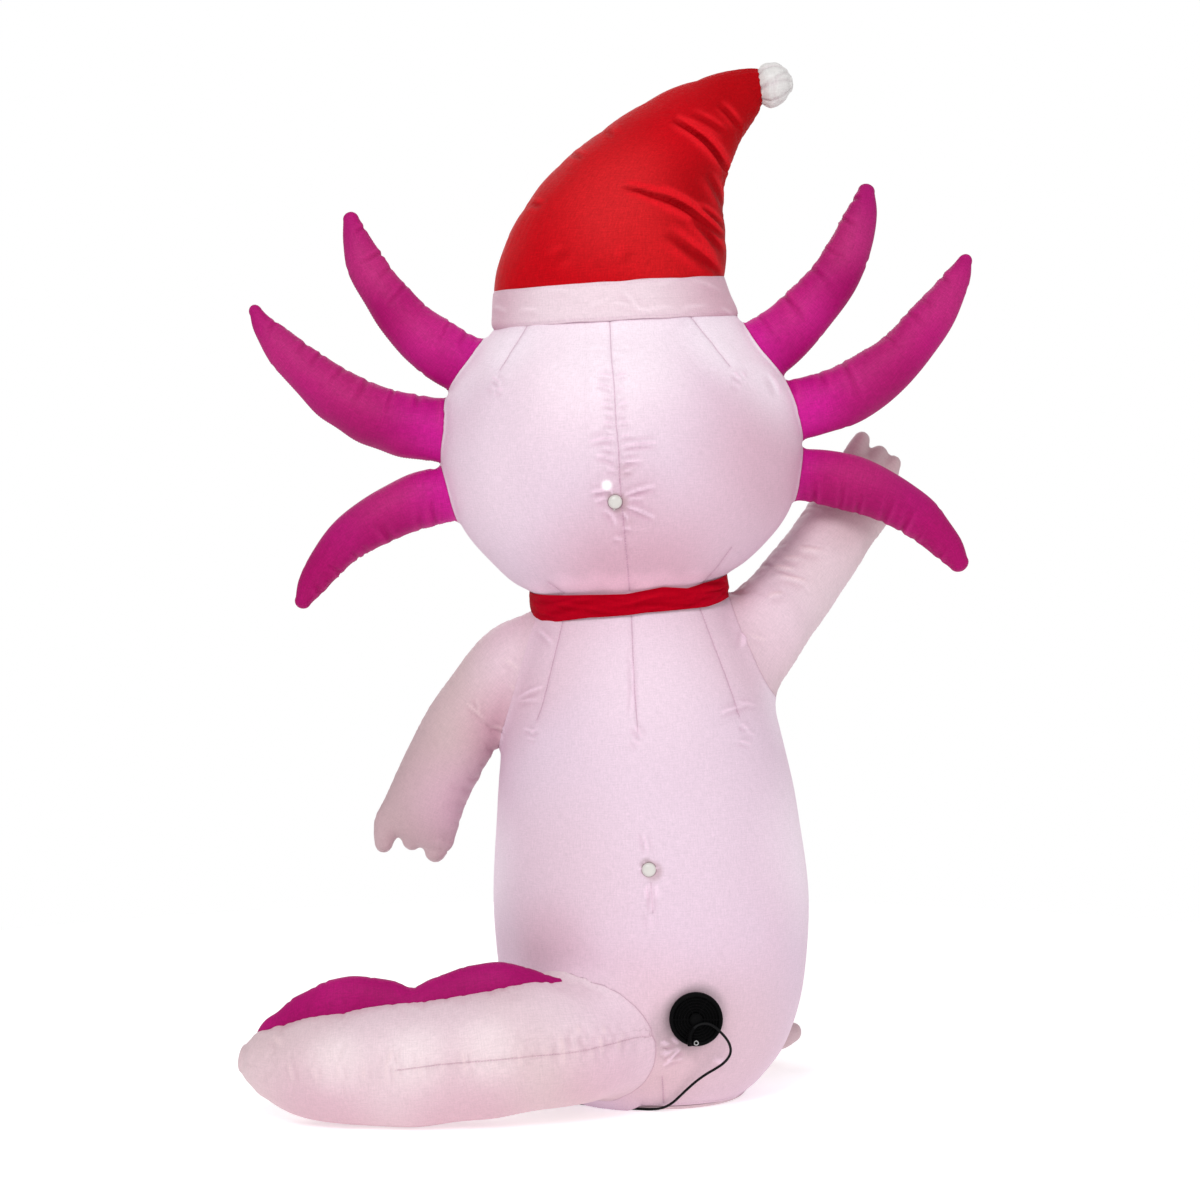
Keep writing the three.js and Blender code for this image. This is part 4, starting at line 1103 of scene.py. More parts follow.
def rubber(name, colour):
    """A matt cover, slightly dusty."""
    finish = Finish(name, **{"Specular IOR Level": 0.12})
    dusty = finish.ranged(finish.noise(90.0, 3.0), 0.35, 0.75, 0.0, 0.5)
    colours = finish.mixed(dusty, colour, [c * 2.2 for c in colour])
    rough = finish.ranged(finish.noise(70.0, 2.0), 0.3, 0.7, 0.42, 0.6)
    normal = finish.bump(finish.noise(1500.0, 1.0), 0.1, 0.0002)
    finish.set(finish.shader, {"Base Color": colours, "Roughness": rough, "Normal": normal})
    return finish.material


def metal(name, colour):
    """Plated strip with fine drawing lines."""
    finish = Finish(name, Metallic=1.0)
    stretch = {"Vector": finish.place, "Scale": (2600.0, 90.0, 90.0)}
    drawn = finish.node("ShaderNodeMapping", stretch)
    lines = finish.noise(1.0, 3.0, drawn.outputs["Vector"])
    rough = finish.ranged(lines, 0.3, 0.7, 0.22, 0.38)
    colours = finish.mixed(lines, colour, [c * 0.86 for c in colour])
    normal = finish.bump(lines, 0.1, 0.0001)
    finish.set(finish.shader, {"Base Color": colours, "Roughness": rough, "Normal": normal})
    return finish.material


FINISHES = {}

# tones mixed into the cloth in places, and the lamps inside it, in metres: a place, how far from it
# the tone is full, where it ends, the tone, and its share; most tones are painted light and shade
# pink is painted shade; pearl and cream are painted highlights; milk and petal are painted light;
# white is a painted spot of lamp light; dusk darkens, as painted shadow under the right gill
PAINTED_SHADE_PINK, DUSK, PAINTED_HIGHLIGHT_PEARL = (0.60, 0.33, 0.42), (0.48, 0.31, 0.34), (0.86, 0.69, 0.79)
PAINTED_LIGHT_MILK, PAINTED_HIGHLIGHT_CREAM, PAINTED_LAMP_WHITE = (0.95, 0.83, 0.92), (0.90, 0.79, 0.80), (1.0, 1.0, 1.0)
BLUSH, ROSE, PAINTED_LIGHT_PETAL = (0.72, 0.51, 0.60), (0.66, 0.44, 0.48), (0.82, 0.48, 0.67)
# painted shade for a gill's underside, and painted light for its top
GILL_PAINTED_SHADE, GILL_PAINTED_LIGHT = (0.33, 0.001, 0.105), (0.50, 0.025, 0.18)
BODY_LAMP = ((-0.016, -0.10, 0.50), 0.10, 0.42)
HEAD_LAMP = ((-0.075, -0.06, 1.08), 0.10, 0.42)
GILL_LAMP = ((-0.06, 0.0, 1.17), 0.30, 0.50)
# painted light: bright spots by the lamps, and under the chin a glow that lifts the shade where the
# head overhangs the collar; the last value is their light
GLINTS = [
    ((-0.0865, -0.243, 1.066), 0.001, 0.0125, 0.45),
    *(
        ((x, -0.245, z), 0.0, 0.0075, 0.16)
        for x in (-0.0195, -0.0035) for z in (0.393, 0.386, 0.379)
    ),
    ((-0.0135, -0.245, 0.447), 0.0, 0.007, 0.14),
]
CHIN_GLOW = [((x, y, 0.896), 0.012, 0.05, 0.22) for x, y in (
    (-0.19, -0.08), (-0.145, -0.13), (-0.095, -0.155), (-0.045, -0.16), (0.005, -0.155),
    (0.055, -0.13),
)]
SHOULDER_TONES = [
    ((-0.20, -0.09, 0.79), 0.07, 0.17, BLUSH, 0.75), ((0.16, -0.09, 0.82), 0.07, 0.19, BLUSH, 0.75),
    ((-0.01, -0.26, 0.14), 0.06, 0.20, BLUSH, 1.0),
]
# the body: a tint at the shoulders and darker rose towards the bottom; painted highlights on its
# upper back and along its edges; painted shade by the left arm, above the tail and to the lower
# left of the fan
BODY_TONES_AND_PAINTED_LIGHT = [
    *SHOULDER_TONES, ((-0.19, -0.20, 0.40), 0.04, 0.24, ROSE, 0.2),
    ((-0.02, -0.22, 0.78), 0.04, 0.23, PAINTED_HIGHLIGHT_PEARL, 0.5), ((-0.235, -0.08, 0.68), 0.02, 0.12, PAINTED_SHADE_PINK, 0.2),
    ((0.12, -0.18, 0.10), 0.05, 0.22, ROSE, 0.5), ((-0.29, -0.02, 0.42), 0.03, 0.16, PAINTED_LIGHT_MILK, 0.6),
    ((0.27, -0.02, 0.44), 0.03, 0.22, PAINTED_LIGHT_MILK, 0.7), ((0.24, -0.02, 0.68), 0.02, 0.12, PAINTED_LIGHT_MILK, 0.5),
    ((-0.19, -0.20, 0.28), 0.03, 0.12, PAINTED_SHADE_PINK, 0.3), ((0.0, -0.24, 0.03), 0.03, 0.13, ROSE, 0.7),
    ((0.035, -0.235, 0.15), 0.03, 0.07, (0.36, 0.26, 0.29), 0.5),
]
# the head: painted highlights across its top and left side; painted shade at its bottom above the
# collar, on its right, by its button and in a strip beside the lower seam
HEAD_PAINTED_LIGHT_AND_SHADE = [
    ((-0.03, -0.16, 0.90), 0.05, 0.24, PAINTED_SHADE_PINK, 0.85), ((0.20, -0.14, 1.10), 0.04, 0.24, PAINTED_SHADE_PINK, 0.6),
    ((-0.12, -0.22, 1.29), 0.06, 0.26, PAINTED_HIGHLIGHT_PEARL, 1.0), ((-0.05, -0.27, 1.06), 0.02, 0.10, PAINTED_SHADE_PINK, 0.25),
    ((-0.33, -0.14, 1.10), 0.05, 0.22, PAINTED_HIGHLIGHT_PEARL, 0.55), ((-0.07, -0.20, 1.33), 0.05, 0.19, PAINTED_LIGHT_MILK, 0.55),
    ((0.17, -0.05, 1.29), 0.04, 0.20, PAINTED_LIGHT_MILK, 1.0), ((-0.32, -0.05, 1.28), 0.03, 0.13, PAINTED_LIGHT_MILK, 0.8),
    ((-0.25, -0.12, 1.31), 0.02, 0.11, PAINTED_LIGHT_MILK, 0.8), ((0.10, -0.13, 1.31), 0.02, 0.11, PAINTED_LIGHT_MILK, 0.8),
    *(((x, -0.24, z), 0.0, 0.024, (0.42, 0.25, 0.27), 0.3) for x, z in (
        (-0.050, 1.00), (-0.045, 0.97), (-0.040, 0.94), (-0.036, 0.91), (-0.056, 1.09),
    )),
]
# the limbs: a tint at the shoulders; darker towards the left hand, at the right hand and at a toe;
# painted shade in the armpit, under the right gill and under the tail; painted light on the inner
# forearm and the right arm, and painted highlights along the tail
LIMB_TONES_AND_PAINTED_LIGHT = [
    *SHOULDER_TONES, ((-0.45, 0.0, 0.46), 0.08, 0.36, DUSK, 0.75),
    ((-0.262, -0.02, 0.66), 0.03, 0.12, (0.60, 0.30, 0.40), 0.6),
    ((-0.345, -0.02, 0.52), 0.02, 0.13, PAINTED_LIGHT_PETAL, 0.35), ((0.27, 0.02, 0.92), 0.05, 0.20, PAINTED_HIGHLIGHT_PEARL, 0.4),
    ((-0.42, -0.34, 0.16), 0.05, 0.30, PAINTED_HIGHLIGHT_PEARL, 0.35), ((-0.14, -0.26, 0.20), 0.04, 0.15, PAINTED_HIGHLIGHT_PEARL, 0.5),
    ((-0.56, -0.32, 0.02), 0.03, 0.15, PAINTED_SHADE_PINK, 0.5), ((-0.32, -0.32, 0.02), 0.03, 0.16, PAINTED_SHADE_PINK, 0.5),
    ((-0.10, -0.30, 0.08), 0.02, 0.12, PAINTED_SHADE_PINK, 0.35), ((0.345, 0.0, 1.00), 0.02, 0.07, DUSK, 0.35),
    *(((x, -0.35, z), 0.01, 0.075, PAINTED_HIGHLIGHT_CREAM, 0.4) for x, z in (
        (-0.53, 0.125), (-0.40, 0.13), (-0.28, 0.14),
    )),
    ((0.42, 0.15, 1.12), 0.02, 0.10, DUSK, 0.5), ((0.25, 0.23, 0.06), 0.02, 0.09, DUSK, 0.5),
]
# the hat: painted highlights on its middle, and painted shade down its right side
HAT_PAINTED_LIGHT_AND_SHADE = [
    ((-0.07, -0.17, 1.57), 0.03, 0.17, (0.64, 0.017, 0.022), 0.75),
    ((0.00, -0.14, 1.47), 0.03, 0.12, (0.61, 0.012, 0.016), 0.6),
    ((0.12, -0.10, 1.55), 0.04, 0.17, (0.37, 0.001, 0.004), 1.0),
    ((0.17, -0.05, 1.74), 0.04, 0.16, (0.40, 0.001, 0.004), 0.9),
]
# the collar: blotches of painted shade in its folds
COLLAR_PAINTED_SHADE = [((x, y, z), 0.006, 0.032, (0.27, 0.001, 0.006), 0.55) for x, y, z in (
    (-0.22, -0.12, 0.855), (-0.14, -0.19, 0.85), (-0.05, -0.2, 0.868), (0.0, -0.2, 0.85),
    (0.09, -0.16, 0.873),
)]
# the band: painted shade towards its left and right sides
BAND_PAINTED_SHADE = [
    ((-0.29, -0.05, 1.40), 0.03, 0.15, PAINTED_SHADE_PINK, 0.55), ((0.12, -0.07, 1.39), 0.03, 0.19, PAINTED_SHADE_PINK, 0.7),
]


def button_painted_shade(x, y, z):
    """Painted shade round a lamp's button, and a painted dark rim where the cloth meets it."""
    return [
        ((x + 0.007, y, z - 0.003), 0.010, 0.022, (0.34, 0.20, 0.20), 0.45),
        ((x - 0.004, y, z + 0.009), 0.004, 0.015, (0.25, 0.16, 0.15), 0.5),
        ((x, y, z), 0.0118, 0.0142, (0.16, 0.10, 0.09), 0.85),
    ]


def gill_painted_light_and_shade():
    """Painted light and shade on the gills: each gill's tip lighter when it points up and darker
    when it points down, painted shade on its underside and painted light on its top, and painted
    shade in the hollows of the fin.
    """
    tones = [((0.33, -0.04, 1.045), 0.03, 0.14, (0.33, 0.001, 0.10), 0.9)]
    for rows in GILL_ROWS.values():
        if rows[-1][1] > rows[0][1]:
            (x, z, _), tip = rows[-3], (0.02, 0.09, (0.50, 0.035, 0.19), 0.4)
        else:
            (x, z, _), tip = rows[-2], (0.03, 0.13, (0.34, 0.001, 0.10), 0.7)
        tones.append(((x * MM, -0.03, z * MM), *tip))
        for x, z, across in (rows[len(rows) // 2], rows[len(rows) // 3]):
            reach = across * MM
            for dx, dz, far, tone, share in (
                (0.2, -1, 2.0, GILL_PAINTED_SHADE, 0.6), (-0.3, 0.9, 1.9, GILL_PAINTED_LIGHT, 0.45),
            ):
                spot = (x + dx * across, -40, z + dz * across)
                tones.append(([c * MM for c in spot], 0.2 * reach, far * reach, tone, share))
    tones += [((x, -0.26, z), 0.03, 0.11, (0.33, 0.001, 0.11), 0.9) for x, z in (
        (-0.58, 0.15), (-0.47, 0.175), (-0.33, 0.185), (-0.21, 0.205),
    )]
    return tones


def make_finishes():
    """Every material, from the colours in the panel."""
    colours = bpy.context.scene.inflatable_colours

    def dyed(*names):
        return [tuple(getattr(colours, name)) for name in names]

    body = dyed("body", "body_tint", "body_lit")
    head_painted_light_and_shade = [
        # painted shade round the head's button, and a painted spot of lamp light beside it
        *HEAD_PAINTED_LIGHT_AND_SHADE, *button_painted_shade(*HEAD_BUTTON), (GLINTS[0][0], 0.001, 0.0135, PAINTED_LAMP_WHITE, 1.0),
    ]
    body_tones_and_painted_light = [
        *BODY_TONES_AND_PAINTED_LIGHT, *button_painted_shade(*BODY_BUTTON),
        # painted shade round the fan's inlet, where the cloth meets its case
        (BLOWER_CENTRE, 0.047, 0.066, (0.24, 0.18, 0.20), 0.4),
    ]
    for key, dyes, glow, settings in (
        ("body", body, 0.02, {
            "lamp": BODY_LAMP, "spots": GLINTS, "tones": body_tones_and_painted_light, "crease": 0.5, "gloss": 0.45,
        }),
        ("head", body, 0.02, {
            "lamp": HEAD_LAMP, "spots": GLINTS + CHIN_GLOW, "tones": head_painted_light_and_shade, "crease": 0.5,
            "gloss": 0.45,
        }),
        ("limb", dyed("limb", "limb_tint", "limb"), 0.01, {
            "tones": LIMB_TONES_AND_PAINTED_LIGHT, "crease": 0.45, "gloss": 0.6,
        }),
        ("gill", dyed("gill", "gill_tint", "gill_lit"), 0.04, {
            "lamp": GILL_LAMP, "tones": gill_painted_light_and_shade(), "crease": 0.7, "gloss": 0.1, "coarse": 2.2,
            "sheen": 0.5,
        }),
        ("hat", dyed("hat", "hat_tint", "hat"), 0.01, {
            "tones": HAT_PAINTED_LIGHT_AND_SHADE, "crease": 0.95, "gloss": 0.04, "coarse": 2.2, "sheen": 0.4,
            "ridge_highlight_lift": 0.006,
        }),
        ("collar", dyed("collar", "collar_tint", "collar"), 0.01, {
            "tones": COLLAR_PAINTED_SHADE, "crease": 0.8, "gloss": 0.01, "coarse": 1.5, "sheen": 0.0,
            "ridge_highlight_lift": 0.001,
        }),
        ("band", dyed("band", "band", "band"), 0.02, {"tones": BAND_PAINTED_SHADE}),
        ("pompom", dyed("pompom", "pompom", "pompom"), 0.02, {"crease": 0.25}),
        ("base", dyed("base", "limb_tint", "base"), 0.0, {}),
    ):
        FINISHES[key] = cloth(f"{key} cloth", dyes, glow, **settings)
    for key, name, colour, share in (
        ("thread", "thread", colours.body, 0.9), ("gill_thread", "gill thread", colours.gill, 0.8),
        ("hat_thread", "hat thread", colours.hat, 0.8),
    ):
        FINISHES[key] = rubber(name, tuple(c * share for c in colour))
    FINISHES["black"] = plastic("black plastic", (0.0012, 0.0012, 0.0014), 0.5)
    FINISHES["white"] = plastic("white plastic", (0.58, 0.56, 0.53), 0.3, 0.3)
    FINISHES["cord"] = rubber("cord cover", (0.003, 0.003, 0.0034))
    FINISHES["blade"] = metal("blade metal", (0.70, 0.70, 0.68))
    FINISHES["ring"] = metal("ring metal", (0.62, 0.62, 0.62))


# ---- geometry nodes ----

def node_group(name, inputs):
    """An empty geometry node group with named inputs: (name, kind of socket, default)."""
    tree = bpy.data.node_groups.new(name, "GeometryNodeTree")
    for label, kind, default in inputs:
        socket = tree.interface.new_socket(label, in_out="INPUT", socket_type=kind)
        if default is not None:
            socket.default_value = default
    tree.interface.new_socket("Geometry", in_out="OUTPUT", socket_type="NodeSocketGeometry")
    return tree, tree.nodes.new("NodeGroupInput"), tree.nodes.new("NodeGroupOutput")


def finish_group(tree, geometry, material, output):
    """Ends a group: instances made real, smooth shading, and the material."""
    for kind, sockets in (
        ("GeometryNodeRealizeInstances", {}), ("GeometryNodeSetShadeSmooth", {}),
        ("GeometryNodeSetMaterial", {"Material": material}),
    ):
        geometry = add_node(tree, kind, {"Geometry": geometry, **sockets}).outputs[0]
    tree.links.new(geometry, output.inputs[0])


def run_group(tree, mesh, values):
    """The mesh that a node group makes of another, with its inputs set by identifier."""
    holder = place("grower", mesh, None)
    modifier = holder.modifiers.new("grow", "NODES")
    modifier.node_group = tree
    sockets = {
        item.name: item.identifier
        for item in tree.interface.items_tree
        if item.item_type == "SOCKET" and item.in_out == "INPUT"
    }
    for name, value in values.items():
        modifier[sockets[name]] = value
    made = evaluated_mesh(holder)
    holder.modifiers.remove(modifier)
    bpy.data.objects.remove(holder)
    return made


def stitch_group():
    """Thread stitches, one at every pitch along the lines that come in."""
    tree, asked, output = node_group("stitches", [
        ("Geometry", "NodeSocketGeometry", None),
        ("Pitch", "NodeSocketFloat", 0.005),
        ("Length", "NodeSocketFloat", 0.003),
        ("Width", "NodeSocketFloat", 0.0008),
        ("Material", "NodeSocketMaterial", None),
    ])
    given = asked.outputs
    curve = add_node(tree, "GeometryNodeMeshToCurve", {"Mesh": given["Geometry"]})
    points = add_node(
        tree, "GeometryNodeCurveToPoints", {"Curve": curve.outputs[0], "Length": given["Pitch"]},
        mode="LENGTH",
    ).outputs
    aim = add_node(
        tree, "FunctionNodeAlignRotationToVector", {"Vector": points["Tangent"]}, axis="X"
    )
    size = add_node(
        tree, "ShaderNodeCombineXYZ",
        {"X": given["Length"], "Y": given["Width"], "Z": given["Width"]},
    )
    bead = add_node(tree, "GeometryNodeMeshIcoSphere", {"Radius": 0.5, "Subdivisions": 1})
    laid = add_node(tree, "GeometryNodeInstanceOnPoints", {
        "Points": points["Points"], "Instance": bead.outputs["Mesh"],
        "Rotation": aim.outputs["Rotation"], "Scale": size.outputs[0],
    })
    finish_group(tree, laid.outputs[0], given["Material"], output)
    return tree


def sewn(name, lines, slot, finish):
    """One piece of stitches along several lines of points."""
    values = bpy.context.scene.inflatable_cloth
    tree = bpy.data.node_groups.get("stitches") or stitch_group()
    points = np.vstack(lines)
    edges, start = [], 0
    for line in lines:
        edges += [(start + i, start + i + 1) for i in range(len(line) - 1)]
        start += len(line)
    mesh = bpy.data.meshes.new(name)
    mesh.from_pydata(points.tolist(), edges, [])
    made = run_group(tree, mesh, {
        "Pitch": values.stitch_pitch, "Length": values.stitch_length,
        "Width": values.stitch_width, "Material": FINISHES[finish],
    })
    made.name = name
    finish_piece(place(name, made, None), slot)


STITCH_LIFT = 0.0003  # metres from the cloth to the middle of the thread on it
STITCH_BACK = 0.2  # cloth whose normal has less of +Y than this counts as the back


def on_cloth(skin, route):
    """A line laid on the back of the cloth through places given by x and z."""
    line = resampled(np.array(route) * MM, 0.004)
    normals = skin.normals()
    behind = np.flatnonzero(normals[:, 1] < STITCH_BACK)
    flat = skin.points[behind][:, [0, 2]]
    laid = []
    for spot in line:
        gap = np.hypot(*(flat - spot).T)
        close = np.argsort(gap)[:4]
        weight = 1 / (gap[close] + 1e-5)
        chosen = behind[close]
        point = (skin.points[chosen] * weight[:, None]).sum(axis=0) / weight.sum()
        laid.append(point + normals[chosen].mean(axis=0) * STITCH_LIFT)
    return np.array(laid)


def round_cloth(skin, sides, ring):
    """A closed line round a lofted skin at one of its rings."""
    ring = slice(ring * sides, (ring + 1) * sides)
    points = skin.points[ring] + skin.normals()[ring] * STITCH_LIFT
    return np.vstack([points, points[:1]])


def along_cloth(skin, angles, degrees, rings):
    """A line along a lofted skin at one of its angles, between two rings."""
    side = int(np.argmin(np.abs(off_angle(angles, degrees))))
    index = np.arange(*rings) * len(angles) + side
    return skin.points[index] + skin.normals()[index] * STITCH_LIFT


def grille_group():
    """A fan guard: rings about its middle, and bars from the middle to the last ring."""
    tree, asked, output = node_group("fan_grille", [
        ("Geometry", "NodeSocketGeometry", None),
        ("Rings", "NodeSocketInt", 7),
        ("Spacing", "NodeSocketFloat", 0.005),
        ("Wire", "NodeSocketFloat", 0.0009),
        ("Bars", "NodeSocketInt", 6),
        ("Material", "NodeSocketMaterial", None),
    ])
    given = asked.outputs
    index = tree.nodes.new("GeometryNodeInputIndex").outputs[0]

    def reckon(operation, first, second):
        sockets = {0: first, 1: second}
        return add_node(tree, "ShaderNodeMath", sockets, operation=operation).outputs[0]

    def laid(count, curve, **sockets):
        """So many copies of a curve, each turned or sized by its own number."""
        spots = add_node(
            tree, "GeometryNodeMeshLine", {"Count": count, "Offset": (0.0, 0.0, 0.0)}
        )
        copies = add_node(tree, "GeometryNodeInstanceOnPoints", {
            "Points": spots.outputs[0], "Instance": curve.outputs[0], **sockets,
        })
        return add_node(
            tree, "GeometryNodeRealizeInstances", {"Geometry": copies.outputs[0]}
        ).outputs[0]

    size = reckon("MULTIPLY", reckon("ADD", index, 1.0), given["Spacing"])
    ring = add_node(tree, "GeometryNodeCurvePrimitiveCircle", {"Resolution": 64, "Radius": 1.0})
    scale = add_node(tree, "ShaderNodeCombineXYZ", {"X": size, "Y": size, "Z": size})
    rings = laid(given["Rings"], ring, Scale=scale.outputs[0])
    reach = reckon("MULTIPLY", given["Rings"], given["Spacing"])
    bar_end = add_node(tree, "ShaderNodeCombineXYZ", {"X": reach})
    bar = add_node(tree, "GeometryNodeCurvePrimitiveLine", {"End": bar_end.outputs[0]})
    step = reckon("DIVIDE", 2 * math.pi, given["Bars"])
    turn = add_node(tree, "ShaderNodeCombineXYZ", {"Z": reckon("MULTIPLY", index, step)})
    bars = laid(given["Bars"], bar, Rotation=turn.outputs[0])
    both = tree.nodes.new("GeometryNodeJoinGeometry")
    for curves in (rings, bars):
        tree.links.new(curves, both.inputs[0])
    wire = add_node(
        tree, "GeometryNodeCurvePrimitiveCircle", {"Resolution": 8, "Radius": given["Wire"]}
    )
    solid = add_node(tree, "GeometryNodeCurveToMesh", {
        "Curve": both.outputs[0], "Profile Curve": wire.outputs[0], "Fill Caps": True,
    })
    finish_group(tree, solid.outputs[0], given["Material"], output)
    return tree


# ---- hard pieces ----

def from_shape(name, shape, material, sharp):
    """A piece made of a closed shape: faces outwards, and shaded smooth but for sharp edges."""
    bmesh.ops.recalc_face_normals(shape, faces=shape.faces)
    mesh = bpy.data.meshes.new(name)
    shape.to_mesh(mesh)
    shape.free()
    return place(name, shade_smooth(mesh, sharp), material)


def from_faces(name, points, faces, material, sharp=None):
    """A piece made of points and faces that close on themselves."""
    mesh = bpy.data.meshes.new(name)
    mesh.from_pydata([tuple(point) for point in points], [], faces)
    shape = bmesh.new()
    shape.from_mesh(mesh)
    bpy.data.meshes.remove(mesh)
    bmesh.ops.remove_doubles(shape, verts=shape.verts, dist=1e-6)
    return from_shape(name, shape, material, sharp)


def turned(name, profile, centre, material, sides=96):
    """A closed piece turned about a line out of the figure's back: radius and height pairs."""
    shape = bmesh.new()
    x, y, z = centre
    rings = []
    for radius, height in profile:
        turns = [2 * math.pi * side / sides for side in range(sides if radius else 1)]
        rings.append([
            shape.verts.new((x + radius * math.cos(turn), y - height, z + radius * math.sin(turn)))
            for turn in turns
        ])
    for low, high in zip(rings, rings[1:]):
        for side in range(sides):
            turn = (side + 1) % sides
            corners = [
                low[side % len(low)], low[turn % len(low)], high[turn % len(high)],
                high[side % len(high)],
            ]
            shape.faces.new(list(dict.fromkeys(corners)))
    return from_shape(name, shape, material, 35)


def tapered(name, path, radii, material, sides=24):
    """A closed round piece along a path, with a radius at each of its points."""
    path = np.asarray(path)
    along = unit(np.gradient(path, axis=0))
    guide = (1, 0, 0) if abs(along[0][0]) < 0.7 else (0, 1, 0)
    first = unit(np.cross(along, guide))
    second = np.cross(along, first)
    angle = np.linspace(0, 2 * math.pi, sides, endpoint=False)[None, :, None]
    ring = np.cos(angle) * first[:, None] + np.sin(angle) * second[:, None]
    grid = path[:, None] + ring * np.asarray(radii)[:, None, None]
    points = np.vstack([grid.reshape(-1, 3), path[:1], path[-1:]])
    start_pole, last = len(path) * sides, (len(path) - 1) * sides
    faces, caps = [], []
    for side in range(sides):
        turn = (side + 1) % sides
        caps += [(start_pole, turn, side), (start_pole + 1, last + side, last + turn)]
    for low in range(0, last, sides):
        for side in range(sides):
            turn = (side + 1) % sides
            faces.append((low + side, low + turn, low + sides + turn, low + sides + side))
    return from_faces(name, points, faces + caps, material, 40)


def rounded_box(name, low, high, corner, material, segments=4):
    """A box with rounded edges between two corners."""
    shape = bmesh.new()
    bmesh.ops.create_cube(shape, size=1.0)
    low, high = Vector(low), Vector(high)
    scale = Matrix.Diagonal((*(high - low), 1.0))
    shape.transform(Matrix.Translation((low + high) / 2) @ scale)
    bmesh.ops.bevel(
        shape, geom=shape.edges[:], offset=corner, segments=segments, profile=0.5, affect="EDGES"
    )
    return from_shape(name, shape, material, 50)


def band_faces(rows, around):
    """The faces of a band that closes on itself both ways, so many points around it."""
    faces = []
    for row in range(rows):
        here, there = row * around, (row + 1) % rows * around
        for side in range(around):
            over = (side + 1) % around
            faces.append((here + side, there + side, there + over, here + over))
    return faces


def ring_piece(name, centre, normal, radius, wire, material, sides=32, around=12):
    """A closed round wire ring."""
    normal = Vector(normal).normalized()
    first = normal.orthogonal().normalized()
    second = normal.cross(first)
    points = []
    for side in range(sides):
        turn = 2 * math.pi * side / sides
        out = first * math.cos(turn) + second * math.sin(turn)
        for step in range(around):
            lift = 2 * math.pi * step / around
            reach = radius + wire * math.cos(lift)
            points.append(Vector(centre) + out * reach + normal * wire * math.sin(lift))
    return from_faces(name, points, band_faces(sides, around), material)


# ---- the values that the panel shows ----

def colour(name, description, default):
    return FloatVectorProperty(
        name=name, description=description, default=default, min=0, max=1, size=3, subtype="COLOR"
    )


def size(name, description, default):
    return FloatProperty(
        name=name, description=description, default=default, min=0, unit="LENGTH",
        subtype="DISTANCE",
    )


def amount(name, description, default, **limits):
    return FloatProperty(name=name, description=description, default=default, **limits)


def number(name, description, default, **limits):
    return IntProperty(name=name, description=description, default=default, **limits)


class InflatableColours(bpy.types.PropertyGroup):
    body: colour("Body", "Cloth of the body and head", (0.715, 0.51, 0.63))
    body_tint: colour("Body tint", "What the body's cloth varies towards", (0.69, 0.52, 0.64))
    body_lit: colour("Body lit", "The body's cloth over a lamp", (0.74, 0.575, 0.685))
    limb: colour("Limbs", "Cloth of the arms, tail and feet", (0.64, 0.47, 0.49))
    limb_tint: colour("Limb tint", "What the limbs' cloth varies towards", (0.66, 0.49, 0.53))
    gill: colour("Gills", "Cloth of the gills and the tail's fin", (0.45, 0.006, 0.165))
    gill_tint: colour("Gill tint", "What the gills' cloth varies towards", (0.39, 0.006, 0.145))
    gill_lit: colour("Gill root", "The gills' cloth near the head's lamp", (0.57, 0.010, 0.27))
    hat: colour("Hat", "Cloth of the hat", (0.575, 0.002, 0.008))
    hat_tint: colour("Hat tint", "What the hat's cloth varies towards", (0.52, 0.002, 0.007))
    collar: colour("Collar", "Cloth of the collar", (0.39, 0.001, 0.010))
    collar_tint: colour(
        "Collar tint", "What the collar's cloth varies towards", (0.42, 0.001, 0.014)
    )
    band: colour("Hat band", "Cloth of the hat's band", (0.80, 0.63, 0.70))
    pompom: colour("Pompom", "Cloth of the hat's pompom", (0.72, 0.70, 0.69))
    # the base's cloth is heavier and darker; its darker colour is partly painted shade where the
    # figure meets the floor
    base: colour("Base", "Heavier cloth of the base", (0.56, 0.42, 0.50))


class InflatableCloth(bpy.types.PropertyGroup):
    roughness: amount("Roughness", "Roughness of the cloth's coating", 0.5, min=0, max=1)
    sheen: amount("Sheen", "Sheen of the cloth seen along its surface", 0.25, min=0, max=1)
    threads: amount("Threads", "Radians of weave in a metre of cloth", 5200.0, min=100.0)
    fine: size("Fine spacing", "Spacing of the skin's points at the back", 0.0034)
    coarse: size("Coarse spacing", "Spacing of the skin's points at the front", 0.009)
    voxel: size("Joining size", "Voxel size where fingers and toes are joined", 0.0042)
    crumple: amount("Crumple", "How strong all the small wrinkles are", 1.0, min=0, max=3)
    stitch_pitch: size("Stitch pitch", "From one stitch to the next", 0.005)
    stitch_length: size("Stitch length", "Length of a stitch", 0.0032)
    stitch_width: size("Stitch width", "Width of a stitch", 0.0007)


class InflatableFittings(bpy.types.PropertyGroup):
    cord_diameter: size("Cord diameter", "Diameter of the fan's cord", 0.0045)
    cord_length: size("Cord length", "Length of the fan's cord with its coil", 2.8)
    grille_rings: number("Grille rings", "Rings in the fan's guard", 8, min=1)
    grille_bars: number("Grille bars", "Bars in the fan's guard", 6, min=2)
    grille_wire: size("Grille wire", "Half thickness of the guard's rings", 0.0009)


class InflatableStage(bpy.types.PropertyGroup):
    lens: amount("Lens", "Focal length in millimetres", 69.1, min=10)
    floor: size("Floor", "Radius of the floor", 2.6)
    sky: amount("Surround", "Strength of the even light", 0.6, min=0)
    key: amount("Key light", "Power of the main soft light", 120.0, min=0)


GROUPS = {
    "inflatable_colours": InflatableColours,
    "inflatable_cloth": InflatableCloth,
    "inflatable_fittings": InflatableFittings,
    "inflatable_stage": InflatableStage,
}


# ---- operators: one for the stage, and one for each piece or group of like pieces ----

